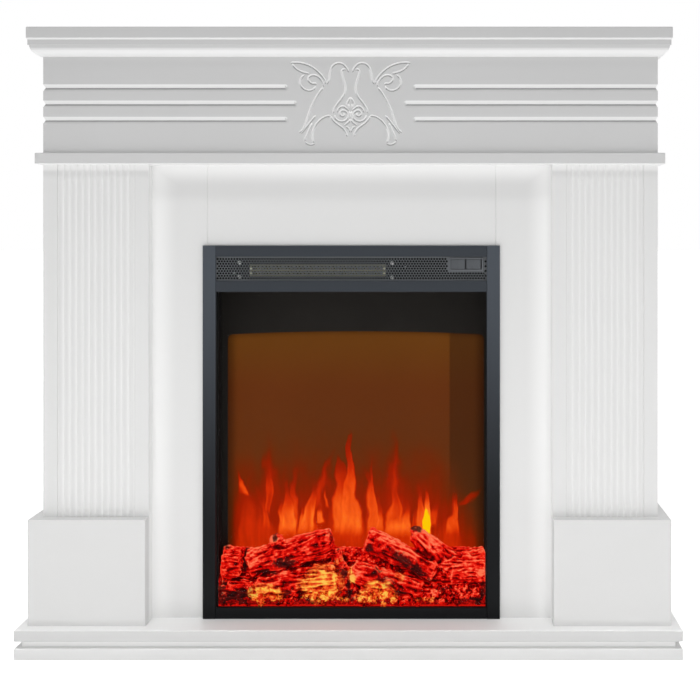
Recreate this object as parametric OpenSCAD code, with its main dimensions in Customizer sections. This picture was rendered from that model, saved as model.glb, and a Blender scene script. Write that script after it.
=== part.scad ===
// Electric fireplace: a painted board mantel round a black steel insert.
// The insert holds a fan heater behind its grille, and a log bed in front of a lit flame screen.
// Origin on the floor at the middle of the base, +X to the right, +Y to the back, +Z up.

/* [Mantel] */
// Width of the base slabs
base_w = 1050; // [1000:1:1300]
// Depth of the base slabs, front to back
base_d = 280; // [262:1:360]
// Thickness of every mantel board
board_t = 18; // [15:0.5:22]
// Height of the recessed spacer between the base slabs
spacer_h = 11; // [6:0.5:18]
// How far the spacer stands back from the edges of the slabs
spacer_inset = 10; // [4:0.5:20]
// Base slab overhang past the plinths at each side
slab_side = 14.5; // [6:0.5:24]
// Base slab overhang in front of the plinths
slab_front = 18; // [8:0.5:26]
// Height of the plinths
plinth_h = 168; // [120:1:220]
// Height from the base slabs to the lower shelf
column_h = 733; // [660:1:820]
// Width of each pilaster
pilaster_w = 169; // [140:1:200]
// Lower shelf overhang past the pilasters
shelf_over = 10; // [4:0.5:20]
// Height of the frieze boards between the two shelves
frieze_h = 181; // [150:1:230]
// Size of the eased edges on the boards
ease = 1; // [0.4:0.1:1.6]
// Height of the stretchers across the back
stretcher_h = 80; // [40:1:110]

/* [Reeding] */
// Number of reeds on each pilaster
reed_n = 12; // [6:1:13]
// Spacing of the reeds
reed_pitch = 10.36; // [7:0.02:11]
// Depth of the valleys between the reeds
reed_depth = 1.8; // [1:0.1:3]

/* [Frieze and crown] */
// Number of grooves round the frieze
groove_n = 3; // [1:1:4]
// Width of a frieze groove
groove_w = 11; // [7:0.5:18]
// Depth of a frieze groove
groove_depth = 3; // [2:0.5:7]
// Spacing of the grooves, one above the other
groove_pitch = 26; // [20:0.5:30]
// Drop from the top of the frieze to the middle of the first groove
groove_drop = 76; // [45:1:85]
// Half of the gap between the left and right grooves
groove_gap = 105; // [60:1:200]
// How much closer the even grooves come to the middle
groove_stagger = 15; // [0:1:30]
// Crown and top shelf overhang past the frieze
crown_over = 20; // [12:0.5:30]
// Bevel along the top of the crown
crown_bevel = 2; // [1:0.5:4]
// Height of the flat fillet of the crown
crown_fillet_h = 8.5; // [5:0.5:14]
// Step between the fillet and the ovolo
crown_step = 2; // [1:0.5:4]
// Height of the ovolo of the crown
crown_ovolo_h = 16; // [8:0.5:20]

/* [Insert front] */
// Width of the steel trim
trim_w = 480; // [440:1:560]
// Height of the steel trim
trim_h = 603; // [570:1:640]
// How far the trim covers the surround board at each side
trim_lap = 6.5; // [4:0.5:7]
// How far the trim covers the surround board above it
trim_lap_top = 5; // [3:0.5:8]
// Width of the trim stiles
stile_w = 21; // [16:0.5:26]
// Height of the trim rails
rail_h = 18; // [15:0.5:22]
// Height of the grille opening
grille_h = 39; // [34:0.5:42]
// How far the trim stands in front of the surround
trim_proud = 6; // [5:0.5:12]
// Thickness of the trim sheet
trim_t = 1.5; // [1:0.1:2]
// Thickness of the front glass
glass_t = 4; // [3:0.5:6]
// Spacing of the grille holes
hole_pitch = 9; // [8:0.5:12]
// Width of the grille holes across their corners
hole_d = 7; // [4:0.1:7.5]

/* [Insert body] */
// Space between the steel case and the surround board at each side
case_gap = 4.5; // [2:0.5:5]
// Space between the steel case and the surround board above it
case_gap_top = 5; // [3:0.5:8]
// Depth of the steel case behind the faceplate
case_d = 150; // [146:1:170]
// Thickness of the case sheet
sheet_t = 1.2; // [0.8:0.1:2]
// Distance from the front of the case to the flame screen
screen_y = 77; // [76:0.5:82]
// Thickness of the flame screen
screen_t = 3; // [2:0.5:4]
// Height of the flame picture above the base slabs
picture_h = 457; // [380:1:480]
// Width of the mask at each side of the flame picture
mask_side = 10.8; // [6:0.1:20]
// Radius of the upper corners of the flame picture
picture_r = 9; // [4:1:40]
// Rise of the flame picture's upper edge from its corners to its middle
picture_rise = 5; // [1:0.5:10]
// Height of the front edge of the ember bed
ember_front_h = 22; // [14:1:30]
// Height of the back edge of the ember bed
ember_back_h = 58; // [50:1:70]
// Thickness of the ember bed
ember_t = 2.5; // [1.5:0.5:4]
// Radius of a middling log
log_r = 20; // [15:0.5:22]

/* [Flame and fan parts] */
// Diameter of the flame rotor rod
rotor_rod_d = 4; // [3:0.5:6]
// Number of reflector flags on the flame rotor
rotor_flags = 10; // [4:1:12]
// Width of a reflector flag across the rod
flag_w = 28; // [16:1:30]
// Diameter of the cross-flow blower wheel
wheel_d = 37; // [30:1:38]
// Length of the blower wheel
wheel_l = 216; // [180:1:222]
// Number of blades round the blower wheel
blade_n = 24; // [12:1:30]
// Diameter of the blower shaft
shaft_d = 5; // [4:0.5:6]
// Distance of the heater from the middle, towards the left
heater_x = 57; // [50:1:60]
// Radial running clearance of shafts and pivots
run_gap = 0.05; // [0.02:0.01:0.1]

/* [Switches] */
// Width of the control bezel
bezel_w = 55; // [52:0.5:60]
// Height of the control bezel
bezel_h = 21; // [20:0.5:23]
// Distance from the control bezel to the stile on its right
bezel_gap = 6; // [4:0.5:12]
// Angle that a rocker turns between its two positions
rocker_throw = 10; // [6:0.5:12]

/* [Hidden] */
$fn = 48;

// Space left between pieces that seat without touching
seat = 0.3;

// Places of the mantel boards, front to back
front_y = -base_d/2;
rear_y = base_d/2;
plinth_y = front_y + slab_front;
face_y = plinth_y + board_t;
surround_y = face_y + board_t;
carcass_y = surround_y + board_t;

// Places of the mantel boards, side to side
plinth_x = base_w/2 - slab_side;
body_x = plinth_x - board_t;
pilaster_x = body_x - pilaster_w;
opening_x = trim_w/2 - trim_lap;
carcass_x = body_x - board_t;

// Heights of the mantel
slab_z = 2*board_t + spacer_h;
shelf_z = slab_z + column_h;
frieze_z = shelf_z + board_t;
cap_z = frieze_z + frieze_h;
crown_h = crown_ovolo_h + crown_fillet_h + crown_bevel;
crown_z = cap_z - crown_h;

// Trim and faceplate
trim_y = surround_y - trim_proud;
plate_y = surround_y - sheet_t;
trim_x = trim_w/2;
window_x = trim_x - stile_w;
trim_z = slab_z + trim_h;
opening_h = trim_h - trim_lap_top;
grille_top = trim_z - rail_h;
grille_z = grille_top - grille_h;
middle_z = grille_z - rail_h;
window_z = slab_z + rail_h;
trim_bend = 0.8;
plate_x = trim_x - trim_t - 0.5;
plate_z = trim_z - trim_t - 0.5;

// Case, its divider and what stands on its floor
case_x = opening_x - case_gap;
wall_x = case_x - sheet_t;
case_h = opening_h - case_gap_top;
case_z = slab_z + case_h;
case_y = surround_y;
case_rear = case_y + case_d;
floor_z = slab_z + sheet_t;
divider_z = middle_z + rail_h/2 - sheet_t/2;
heater_floor = divider_z + sheet_t;
ceiling_z = case_z - sheet_t;
flange_w = 14;
pane_y = case_y + seat;
pane_x = wall_x - 2;
grille_back = pane_y + sheet_t;

// Flame screen, mask, stencil and channels behind the logs
mask_t = 0.8;
screen_front = case_y + screen_y;
mask_y = screen_front - seat - mask_t;
screen_top = divider_z - seat;
stencil_y = screen_front + screen_t + 10;
stencil_t = 0.8;
stencil_h = 280;
stencil_edge = 6;

// Ember bed slope
bed_front = case_y + 10;
bed_rear = mask_y - 3;
bed_lip = 8;
bed_x = wall_x - 1;
lamp_board_d = 14;
lamp_board_end = 20;

// Flame rotor
motor_d = 42;
rotor_y = stencil_y + stencil_t + motor_d/2 + 1;
rotor_z = slab_z + 93;
rotor_r = rotor_rod_d/2;
motor_l = 20;
bush_l = 12;
rod_end = wall_x - 20;

// Heater and blower
heater_mid = -heater_x;
outlet_l = wheel_l + 8;
duct_t = 1.2;
outlet_h = 20;
outlet_y = case_y + 8;
wheel_r = wheel_d/2;
scroll_r = wheel_r + 3.5;
wheel_y = case_y + 71;
wheel_z = (heater_floor + ceiling_z)/2;
outlet_z = wheel_z - outlet_h/2 - 2.5;
duct_x0 = heater_mid - outlet_l/2 - duct_t;
duct_x1 = heater_mid + outlet_l/2 + duct_t;
shaft_r = shaft_d/2;
stator_l = 22;
fan_bush_l = 9;

// Control bezel and rockers
bezel_x = window_x - bezel_gap - bezel_w/2;
bezel_z = grille_top - bezel_h/2 - 2;
bezel_rim = 2;
bezel_wall = 1.3;
bezel_front = pane_y - 3;
bezel_rear = grille_back + 12;
window_w = bezel_w - 2*bezel_rim;
window_h = bezel_h - 2*bezel_rim;
rocker_gap = 0.6;
pivot_y = pane_y + 7;
pin_r = 1;
rocker_h = window_h - 2*rocker_gap;
rocker_half = window_w/4 - 1.2;
rocker_face = pivot_y - pane_y + 1.2;

// Screws
screw_r = 1.7;
screw_hole_r = 1.9;
head_r = 3.4;
head_h = 1.8;

// Colours of the materials
white_paint = [0.93, 0.93, 0.92];
black_steel = [0.2, 0.21, 0.23];
dark_sheet = [0.12, 0.12, 0.13];
zinc = [0.7, 0.71, 0.72];
bark = [0.42, 0.27, 0.17];

// ---- Shared shapes ----

// Carries a flat shape drawn in Y and Z along X
module along_x(x0, len) {
    translate([x0, 0, 0]) rotate([90, 0, 90]) linear_extrude(len) children();
}

// Carries a flat shape drawn in X and Z along Y
module along_y(y0, len) {
    translate([0, y0 + len, 0]) rotate([90, 0, 0]) linear_extrude(len) children();
}

// Carries a flat shape drawn in X and Y upwards
module upwards(z0, len) {
    translate([0, 0, z0]) linear_extrude(len) children();
}

// A box between two corners
module box(low, high) {
    translate(low) cube(high - low);
}

// A rectangle with its corners cut off by the easing
module eased_rect(low, high) {
    polygon([
        [low.x + ease, low.y], [high.x - ease, low.y], [high.x, low.y + ease],
        [high.x, high.y - ease], [high.x - ease, high.y], [low.x + ease, high.y],
        [low.x, high.y - ease], [low.x, low.y + ease]
    ]);
}

// A board with every edge eased
module eased_board(low, high) {
    intersection() {
        upwards(low.z, high.z - low.z) eased_rect([low.x, low.y], [high.x, high.y]);
        along_x(low.x, high.x - low.x) eased_rect([low.y, low.z], [high.y, high.z]);
        along_y(low.y, high.y - low.y) eased_rect([low.x, low.z], [high.x, high.z]);
    }
}

// Draws the right-hand piece, or its mirror image for the left
module on_side(side) {
    if (side > 0) children();
    else mirror([1, 0, 0]) children();
}

// A pan-head screw along +Y, its head's underside at the origin
module screw(len) {
    rotate([-90, 0, 0]) cylinder(r = screw_r, h = len);
    rotate([90, 0, 0]) cylinder(r = head_r, h = head_h);
}

// ---- Mantel ----

module base_slab(z0) {
    color(white_paint)
        eased_board([-base_w/2, front_y, z0], [base_w/2, rear_y, z0 + board_t]);
}

module base_spacer() {
    color(white_paint)
        box([-base_w/2 + spacer_inset, front_y + spacer_inset, board_t],
            [base_w/2 - spacer_inset, rear_y - spacer_inset, board_t + spacer_h]);
}

module plinth_front(side) {
    color(white_paint) on_side(side) upwards(slab_z, plinth_h)
        polygon([
            [pilaster_x, face_y], [pilaster_x, plinth_y + ease], [pilaster_x + ease, plinth_y],
            [plinth_x - ease, plinth_y], [plinth_x - ease/2, plinth_y + ease/2],
            [body_x, face_y]
        ]);
}

module plinth_side(side) {
    color(white_paint) on_side(side) upwards(slab_z, plinth_h)
        polygon([
            [plinth_x - ease/2, plinth_y + ease/2], [plinth_x, plinth_y + ease],
            [plinth_x, rear_y], [body_x, rear_y], [body_x, face_y]
        ]);
}

// Convex reeds side by side, flush with the face of the board
module reed_outline() {
    reed_r = (reed_pitch*reed_pitch/4 + reed_depth*reed_depth)/(2*reed_depth);
    field = reed_n*reed_pitch;
    mid = pilaster_x + pilaster_w/2;
    union() {
        difference() {
            translate([pilaster_x, face_y]) square([pilaster_w, board_t]);
            translate([mid - field/2, face_y - 1]) square([field, reed_depth + 1.5]);
        }
        intersection() {
            translate([mid - field/2, face_y]) square([field, reed_depth + 1]);
            for (i = [0 : reed_n - 1])
                translate([mid - field/2 + (i + 0.5)*reed_pitch, face_y + reed_r])
                    circle(r = reed_r);
        }
    }
}

module pilaster(side) {
    color(white_paint) on_side(side) upwards(slab_z, column_h) reed_outline();
}

module side_panel(side) {
    color(white_paint) on_side(side)
        box([carcass_x, carcass_y, slab_z], [body_x, rear_y, shelf_z]);
}

module surround_side(side) {
    color(white_paint) on_side(side) difference() {
        upwards(slab_z, column_h)
            polygon([
                [opening_x, carcass_y], [opening_x, surround_y + ease],
                [opening_x + ease, surround_y], [body_x, surround_y], [body_x, carcass_y]
            ]);
        for (z = bracket_heights)
            translate([bracket_hole_x, carcass_y - 12, z]) rotate([-90, 0, 0])
                cylinder(r = screw_hole_r, h = 13);
    }
}

module surround_top() {
    color(white_paint)
        upwards(slab_z + opening_h, column_h - opening_h)
            polygon([
                [-opening_x, carcass_y], [-opening_x, surround_y + ease],
                [-opening_x + ease, surround_y], [opening_x - ease, surround_y],
                [opening_x, surround_y + ease], [opening_x, carcass_y]
            ]);
}

module lower_shelf() {
    color(white_paint)
        eased_board([-body_x - shelf_over, face_y - shelf_over, shelf_z],
                    [body_x + shelf_over, rear_y, frieze_z]);
}

// Where the inner end of a groove lies, from the middle of the frieze
function groove_end(i) = groove_gap - (i % 2)*groove_stagger;

// Vee grooves along the front, round the corners and along both sides of the frieze
module frieze_grooves() {
    reach = 1;
    half = groove_w/2*(groove_depth + reach)/groove_depth;
    for (i = [0 : groove_n - 1], side = [-1, 1]) {
        z = cap_z - groove_drop - i*groove_pitch;
        on_side(side) {
            along_x(groove_end(i), body_x + 2*reach - groove_end(i))
                polygon([
                    [face_y - reach, z - half], [face_y + groove_depth, z],
                    [face_y - reach, z + half]
                ]);
            translate([groove_end(i), face_y - reach, z]) rotate([-90, 0, 0])
                cylinder(r1 = half, r2 = 0, h = groove_depth + reach);
            along_y(face_y - 2*reach, rear_y - face_y + 3*reach)
                polygon([
                    [body_x + reach, z - half], [body_x - groove_depth, z],
                    [body_x + reach, z + half]
                ]);
        }
    }
}

module frieze_front() {
    color(white_paint) difference() {
        upwards(frieze_z, frieze_h)
            polygon([
                [-body_x, face_y], [body_x, face_y],
                [carcass_x, surround_y], [-carcass_x, surround_y]
            ]);
        frieze_grooves();
    }
}

module frieze_side(side) {
    color(white_paint) difference() {
        on_side(side) upwards(frieze_z, frieze_h)
            polygon([
                [body_x, face_y], [body_x, rear_y],
                [carcass_x, rear_y], [carcass_x, surround_y]
            ]);
        frieze_grooves();
    }
}

// Crown moulding: an ovolo under a fillet with a bevelled top, drawn outwards from zero
module crown_profile() {
    ovolo_w = crown_over - crown_bevel - crown_step;
    arc = [for (a = [0 : 9 : 90])
        [ovolo_w*sin(a), crown_z + crown_ovolo_h*(1 - cos(a))]];
    polygon(concat(arc, [
        [crown_over - crown_bevel, crown_z + crown_ovolo_h],
        [crown_over - crown_bevel, cap_z - crown_bevel],
        [crown_over, cap_z],
        [0, cap_z]
    ]));
}

module crown_front() {
    color(white_paint) intersection() {
        translate([-body_x - crown_over, face_y, 0]) rotate([90, 0, 90])
            linear_extrude(2*(body_x + crown_over)) mirror([1, 0]) crown_profile();
        upwards(crown_z, crown_h)
            polygon([
                [-body_x - crown_over, face_y - crown_over],
                [body_x + crown_over, face_y - crown_over],
                [body_x, face_y], [-body_x, face_y]
            ]);
    }
}

module crown_side(side) {
    color(white_paint) on_side(side) intersection() {
        translate([body_x, rear_y, 0]) rotate([90, 0, 0])
            linear_extrude(rear_y - face_y + crown_over) crown_profile();
        upwards(crown_z, crown_h)
            polygon([
                [body_x + crown_over, face_y - crown_over],
                [body_x + crown_over, rear_y], [body_x, rear_y], [body_x, face_y]
            ]);
    }
}

module top_shelf() {
    color(white_paint)
        eased_board([-body_x - crown_over, face_y - crown_over, cap_z],
                    [body_x + crown_over, rear_y, cap_z + board_t]);
}

module stretcher(top) {
    color(white_paint)
        box([-carcass_x, rear_y - board_t, top - stretcher_h], [carcass_x, rear_y, top]);
}

// ---- Front of the insert ----

module trim_stile(side) {
    color(black_steel) on_side(side) upwards(slab_z, trim_h)
        polygon([
            [window_x, plate_y], [window_x, trim_y + trim_bend],
            [window_x + trim_bend, trim_y], [trim_x - trim_bend, trim_y],
            [trim_x, trim_y + trim_bend], [trim_x, surround_y],
            [trim_x - trim_t, surround_y], [trim_x - trim_t, trim_y + trim_t],
            [window_x + trim_t, trim_y + trim_t], [window_x + trim_t, plate_y]
        ]);
}

// A folded rail between the stiles; each fold runs back to its own depth
module trim_rail(z0, low_fold, high_fold) {
    z1 = z0 + rail_h;
    color(black_steel) along_x(-window_x + seat, 2*(window_x - seat))
        polygon([
            [low_fold, z0], [trim_y + trim_bend, z0], [trim_y, z0 + trim_bend],
            [trim_y, z1 - trim_bend], [trim_y + trim_bend, z1], [high_fold, z1],
            [high_fold, z1 - trim_t], [trim_y + trim_t, z1 - trim_t],
            [trim_y + trim_t, z0 + trim_t], [low_fold, z0 + trim_t]
        ]);
}

module insert_faceplate() {
    color(dark_sheet) along_y(plate_y, sheet_t) difference() {
        translate([-plate_x, slab_z + trim_t + seat])
            square([2*plate_x, plate_z - slab_z - trim_t - seat]);
        translate([-window_x, window_z]) square([2*window_x, middle_z - window_z]);
        translate([-window_x, grille_z]) square([2*window_x, grille_h]);
    }
}

// Hexagonal holes in staggered rows, clear of the control bezel
module grille() {
    row_pitch = hole_pitch*sin(60);
    rows = floor((grille_h - hole_d)/row_pitch);
    cols = floor((window_x - hole_d/2)/hole_pitch);
    base_z = grille_z + grille_h/2 - rows*row_pitch/2;
    cut_w = window_w + 2*bezel_wall + 2*seat;
    cut_h = window_h + 2*bezel_wall + 2*seat;
    color(black_steel) along_y(pane_y, sheet_t) difference() {
        translate([-pane_x, heater_floor + seat])
            square([2*pane_x, ceiling_z - heater_floor - 2*seat]);
        for (row = [0 : rows], col = [-cols : cols]) {
            x = (col + (row % 2)/2 - 0.25)*hole_pitch;
            z = base_z + row*row_pitch;
            clear_x = abs(x - bezel_x) > (bezel_w + hole_d)/2;
            clear_z = abs(z - bezel_z) > (bezel_h + hole_d)/2;
            if (clear_x || clear_z) translate([x, z]) rotate(30) circle(d = hole_d, $fn = 6);
        }
        translate([bezel_x - cut_w/2, bezel_z - cut_h/2]) square([cut_w, cut_h]);
    }
}

module front_glass() {
    color([0.1, 0.1, 0.1, 0.3])
        box([-pane_x, pane_y, floor_z + seat], [pane_x, pane_y + glass_t, divider_z - seat]);
}

// Angle strips on the case walls that hold the glass against the faceplate
module glass_retainers() {
    strip_y = pane_y + glass_t + seat;
    color(dark_sheet) for (side = [-1, 1]) on_side(side) upwards(floor_z, divider_z - floor_z)
        polygon([
            [wall_x, strip_y], [wall_x - 11, strip_y], [wall_x - 11, strip_y + sheet_t],
            [wall_x - sheet_t, strip_y + sheet_t], [wall_x - sheet_t, strip_y + 4],
            [wall_x, strip_y + 4]
        ]);
}

// ---- Case ----

screw_end = 40;
cover_screw_heights = [for (i = [0 : 3]) slab_z + screw_end + i*(case_h - 2*screw_end)/3];
bracket_heights = [slab_z + case_h/4, slab_z + 3*case_h/4];
bracket_t = 1.5;
bracket_leg = 26;
bracket_h = 30;
bracket_hole_x = case_x + bracket_leg - 8;

module case_side(side) {
    color(dark_sheet) on_side(side) difference() {
        upwards(slab_z, case_h)
            polygon([
                [wall_x, case_y], [case_x, case_y], [case_x, case_rear],
                [case_x - flange_w, case_rear], [case_x - flange_w, case_rear - sheet_t],
                [wall_x, case_rear - sheet_t]
            ]);
        for (z = cover_screw_heights)
            translate([case_x - flange_w/2, case_rear - 3, z]) rotate([-90, 0, 0])
                cylinder(r = screw_hole_r, h = 6);
    }
}

module case_level(z0) {
    color(dark_sheet)
        box([-wall_x, case_y, z0], [wall_x, case_rear - sheet_t, z0 + sheet_t]);
}

gland_x = case_x - 59;
gland_z = slab_z + 60;
gland_r = 9;

// Back sheet with air slots high and low, screw holes and the hole for the cord gland
module rear_cover() {
    slot_w = 34;
    slot_h = 4;
    color(dark_sheet) difference() {
        along_y(case_rear, sheet_t) difference() {
            translate([-case_x, slab_z]) square([2*case_x, case_h]);
            for (col = [-4 : 2], row = [0 : 2]) {
                if (col < 2)
                    translate([col*42 - slot_w/2, ceiling_z - 18 - row*10])
                        square([slot_w, slot_h]);
                if (col > -3)
                    translate([col*42 - slot_w/2, slab_z + 30 + row*10])
                        square([slot_w, slot_h]);
            }
        }
        for (z = cover_screw_heights, side = [-1, 1])
            translate([side*(case_x - flange_w/2), case_rear - 1, z]) rotate([-90, 0, 0])
                cylinder(r = screw_hole_r, h = sheet_t + 2);
        translate([gland_x, case_rear - 1, gland_z]) rotate([-90, 0, 0])
            cylinder(r = gland_r + seat, h = sheet_t + 2);
    }
}

module cover_screws() {
    color(zinc) for (z = cover_screw_heights, side = [-1, 1])
        translate([side*(case_x - flange_w/2), case_rear + sheet_t, z]) mirror([0, 1, 0])
            screw(6);
}

// Round inlet with a flange on the outside and an open bore for the supply cord
module cord_gland() {
    color([0.08, 0.08, 0.08]) translate([gland_x, case_rear - 6, gland_z]) rotate([-90, 0, 0])
        difference() {
            union() {
                cylinder(r = gland_r, h = 6 + sheet_t + 3);
                translate([0, 0, 6 + sheet_t]) cylinder(r = gland_r + 3, h = 3);
            }
            translate([0, 0, -1]) cylinder(r = 4.5, h = 30);
        }
}

// Steel angles that tie the case to the back of the surround boards
module mounting_brackets() {
    color(zinc) for (side = [-1, 1], z = bracket_heights) on_side(side) difference() {
        upwards(z - bracket_h/2, bracket_h)
            polygon([
                [case_x, carcass_y], [case_x + bracket_leg, carcass_y],
                [case_x + bracket_leg, carcass_y + bracket_t],
                [case_x + bracket_t, carcass_y + bracket_t],
                [case_x + bracket_t, carcass_y + 24], [case_x, carcass_y + 24]
            ]);
        translate([bracket_hole_x, carcass_y - 1, z]) rotate([-90, 0, 0])
            cylinder(r = screw_hole_r, h = bracket_t + 2);
    }
}

module bracket_screws() {
    color(zinc) for (side = [-1, 1], z = bracket_heights)
        translate([side*bracket_hole_x, carcass_y + bracket_t, z]) mirror([0, 1, 0]) screw(12);
}

// ---- Log bed ----

// Height of the ember bed's upper surface at a depth
function bed_height(y) = slab_z + ember_front_h
    + (ember_back_h - ember_front_h)*(y - bed_front)/(bed_rear - bed_front);

// Sloping tray that the logs lie on, lit from below
module ember_bed() {
    color([0.75, 0.25, 0.08]) along_x(-bed_x, 2*bed_x)
        polygon([
            [bed_front, floor_z], [bed_front, bed_height(bed_front)],
            [bed_rear, bed_height(bed_rear)], [bed_rear, floor_z],
            [bed_rear - ember_t, floor_z], [bed_rear - ember_t, bed_height(bed_rear) - ember_t - 3],
            [bed_front + ember_t, bed_height(bed_front) - ember_t], [bed_front + ember_t, floor_z]
        ]);
}

// A log from one end to the other, each end with its own radius
module log(from, to, r1, r2) {
    d = to - from;
    len = norm(d);
    translate(from) rotate([0, acos(d.z/len), atan2(d.y, d.x)])
        cylinder(r1 = r1, r2 = r2, h = len);
}

// Resin logs moulded in one piece on a mound, cut to lie on the ember bed
module log_set() {
    front = bed_front + 24;
    mid = bed_front + 30;
    back = bed_rear - 16;
    low = slab_z + ember_front_h;
    high = slab_z + ember_back_h;
    end = bed_x - 4;
    color(bark) intersection() {
        union() {
            log([-0.77*bed_x, back - 8, high + 13], [-0.17*bed_x, back - 6, high + 50],
                1.2*log_r, 1.15*log_r);
            log([-0.71*bed_x, front, low + 15], [-0.13*bed_x, front + 2, low + 33],
                0.9*log_r, 1.1*log_r);
            log([0.11*bed_x, back - 6, high + 55], [0.6*bed_x, front, low + 43],
                log_r, 0.85*log_r);
            log([0.45*bed_x, back - 4, high + 63], [0.75*bed_x, mid, low + 47],
                0.7*log_r, 1.05*log_r);
            log([0.69*bed_x, mid, low + 46], [end, mid + 3, low + 48], 1.2*log_r, 1.3*log_r);
            log([0, front, low + 43], [0.5*bed_x, front - 4, low + 11], 0.9*log_r, 0.75*log_r);
            log([-end, mid + 2, low + 54], [-0.84*bed_x, mid + 3, low + 53],
                1.3*log_r, 1.25*log_r);
            along_x(-end + 8, 2*end - 16)
                polygon([[front, floor_z], [front, bed_height(front) + 1],
                         [bed_rear, high + 36], [bed_rear, floor_z]]);
        }
        along_x(-bed_x, 2*bed_x)
            polygon([
                [bed_front, bed_height(bed_front)], [bed_rear, bed_height(bed_rear)],
                [bed_rear, screen_top], [bed_front, screen_top]
            ]);
    }
}

// A lamp board on two feet, with a row of lamps on its upper face
module lamp_board(y0, z0, half, depth, lamps) {
    box([-half, y0, z0], [half, y0 + depth, z0 + 1.6]);
    for (side = [-1, 1])
        translate([side*(half - 12), y0 + depth/2, floor_z])
            cylinder(r = 3, h = z0 - floor_z);
    for (i = [0 : lamps - 1])
        translate([(2*i/(lamps - 1) - 1)*(half - 20), y0 + depth/2, z0 + 1.6])
            cylinder(r = 2.5, h = 2);
}

module ember_lamp_board() {
    color([0.1, 0.35, 0.2])
        lamp_board(bed_front + 16, floor_z + 4, bed_x - lamp_board_end, lamp_board_d, 12);
}

// ---- Flame screen and what stands behind it ----

// Outline of the flame picture: straight sides, rounded upper corners and a slight arch
module picture_outline() {
    half = wall_x - mask_side;
    reach = half - picture_r;
    shoulder = slab_z + picture_h - picture_rise;
    union() {
        translate([-half, floor_z + 8]) square([2*half, shoulder - picture_r - floor_z - 8]);
        translate([-reach, shoulder - picture_r - 1]) square([2*reach, picture_r + 1]);
        for (side = [-1, 1]) translate([side*reach, shoulder - picture_r])
            circle(r = picture_r);
        polygon([
            [-reach, shoulder - 1],
            for (i = [-8 : 8]) [reach*i/8, shoulder + picture_rise*(1 - i*i/64)],
            [reach, shoulder - 1]
        ]);
    }
}

module screen_mask() {
    color([0.03, 0.03, 0.03]) along_y(mask_y, mask_t) difference() {
        translate([-wall_x + seat, floor_z]) square([2*(wall_x - seat), screen_top - floor_z]);
        picture_outline();
    }
}

module flame_screen() {
    color([0.55, 0.3, 0.15, 0.6])
        box([-wall_x + seat, screen_front, floor_z],
            [wall_x - seat, screen_front + screen_t, screen_top]);
}

// Tall narrow flame cut: a pointed top over a rounded foot
module flame_cut(x, z, w, h) {
    polygon([for (i = [0 : 15]) let (a = 360*i/16, s = sin(a))
        [x + w/2*cos(a)*(s > 0 ? 1 - s : 1) + (s > 0 ? s*w/5 : 0), z + (s > 0 ? h*s : w/2*s)]]);
}

// Upright sheet that throws flame-shaped light on the screen, with a foot on the floor
module flame_stencil() {
    half = wall_x - stencil_edge;
    pitch = half/6.16;
    color(dark_sheet) {
        along_y(stencil_y, stencil_t) difference() {
            translate([-half, floor_z]) square([2*half, stencil_h]);
            for (i = [-5 : 5])
                flame_cut(i*pitch, floor_z + 60, 0.6*pitch,
                          stencil_h*(0.68 - 0.21*abs(sin(i*70))));
        }
        box([-half, stencil_y - 6, floor_z], [half, stencil_y, floor_z + stencil_t]);
    }
}

module flame_lamp_board() {
    color([0.1, 0.35, 0.2])
        lamp_board(rotor_y - lamp_board_d/2, rotor_z - flag_w/2 - 28,
                   bed_x - lamp_board_end - 9, lamp_board_d, 10);
}

// Rod with thin reflector flags, each turned on from the last
module flame_rotor() {
    span = 2*rod_end - 60;
    flag_l = span/rotor_flags - 4;
    color(zinc) {
        translate([-rod_end, rotor_y, rotor_z]) rotate([0, 90, 0])
            cylinder(r = rotor_r, h = 2*rod_end);
        for (i = [0 : rotor_flags - 1])
            translate([-span/2 + (i + 0.5)*span/rotor_flags, rotor_y, rotor_z])
                rotate([i*360/rotor_flags*2, 0, 0])
                    cube([flag_l, flag_w, 0.6], center = true);
    }
}

// Round geared motor on the right-hand wall
module rotor_motor() {
    bush_in = rod_end - 8;
    color(zinc) difference() {
        union() {
            translate([wall_x - motor_l + 6, rotor_y, rotor_z]) rotate([0, 90, 0])
                cylinder(d = motor_d, h = motor_l - 6);
            translate([bush_in, rotor_y, rotor_z]) rotate([0, 90, 0])
                cylinder(r = rotor_r + 4, h = wall_x - bush_in - 1);
        }
        translate([bush_in - 1, rotor_y, rotor_z]) rotate([0, 90, 0])
            cylinder(r = rotor_r + run_gap, h = rod_end - bush_in + 1 + seat);
    }
}

// Plastic bush on a plate on the left-hand wall
module rotor_bearing() {
    color([0.9, 0.9, 0.85]) difference() {
        union() {
            box([-wall_x, rotor_y - 16, rotor_z - 20], [-wall_x + 2, rotor_y + 16, rotor_z + 20]);
            translate([-wall_x + 1, rotor_y, rotor_z]) rotate([0, 90, 0])
                cylinder(r = rotor_r + 4, h = wall_x - 1 - rod_end + bush_l);
        }
        translate([-rod_end - seat, rotor_y, rotor_z]) rotate([0, 90, 0])
            cylinder(r = rotor_r + run_gap, h = bush_l + 1 + seat);
    }
}

// ---- Fan heater ----

// Inside of the duct: a straight outlet that opens into the scroll round the wheel
module duct_space(grow) {
    union() {
        translate([wheel_y, wheel_z]) circle(r = scroll_r + grow);
        translate([outlet_y - (grow > 0 ? 0 : 1), outlet_z - grow])
            square([wheel_y - outlet_y + (grow > 0 ? 0 : 1), outlet_h + 2*grow]);
    }
}

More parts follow.
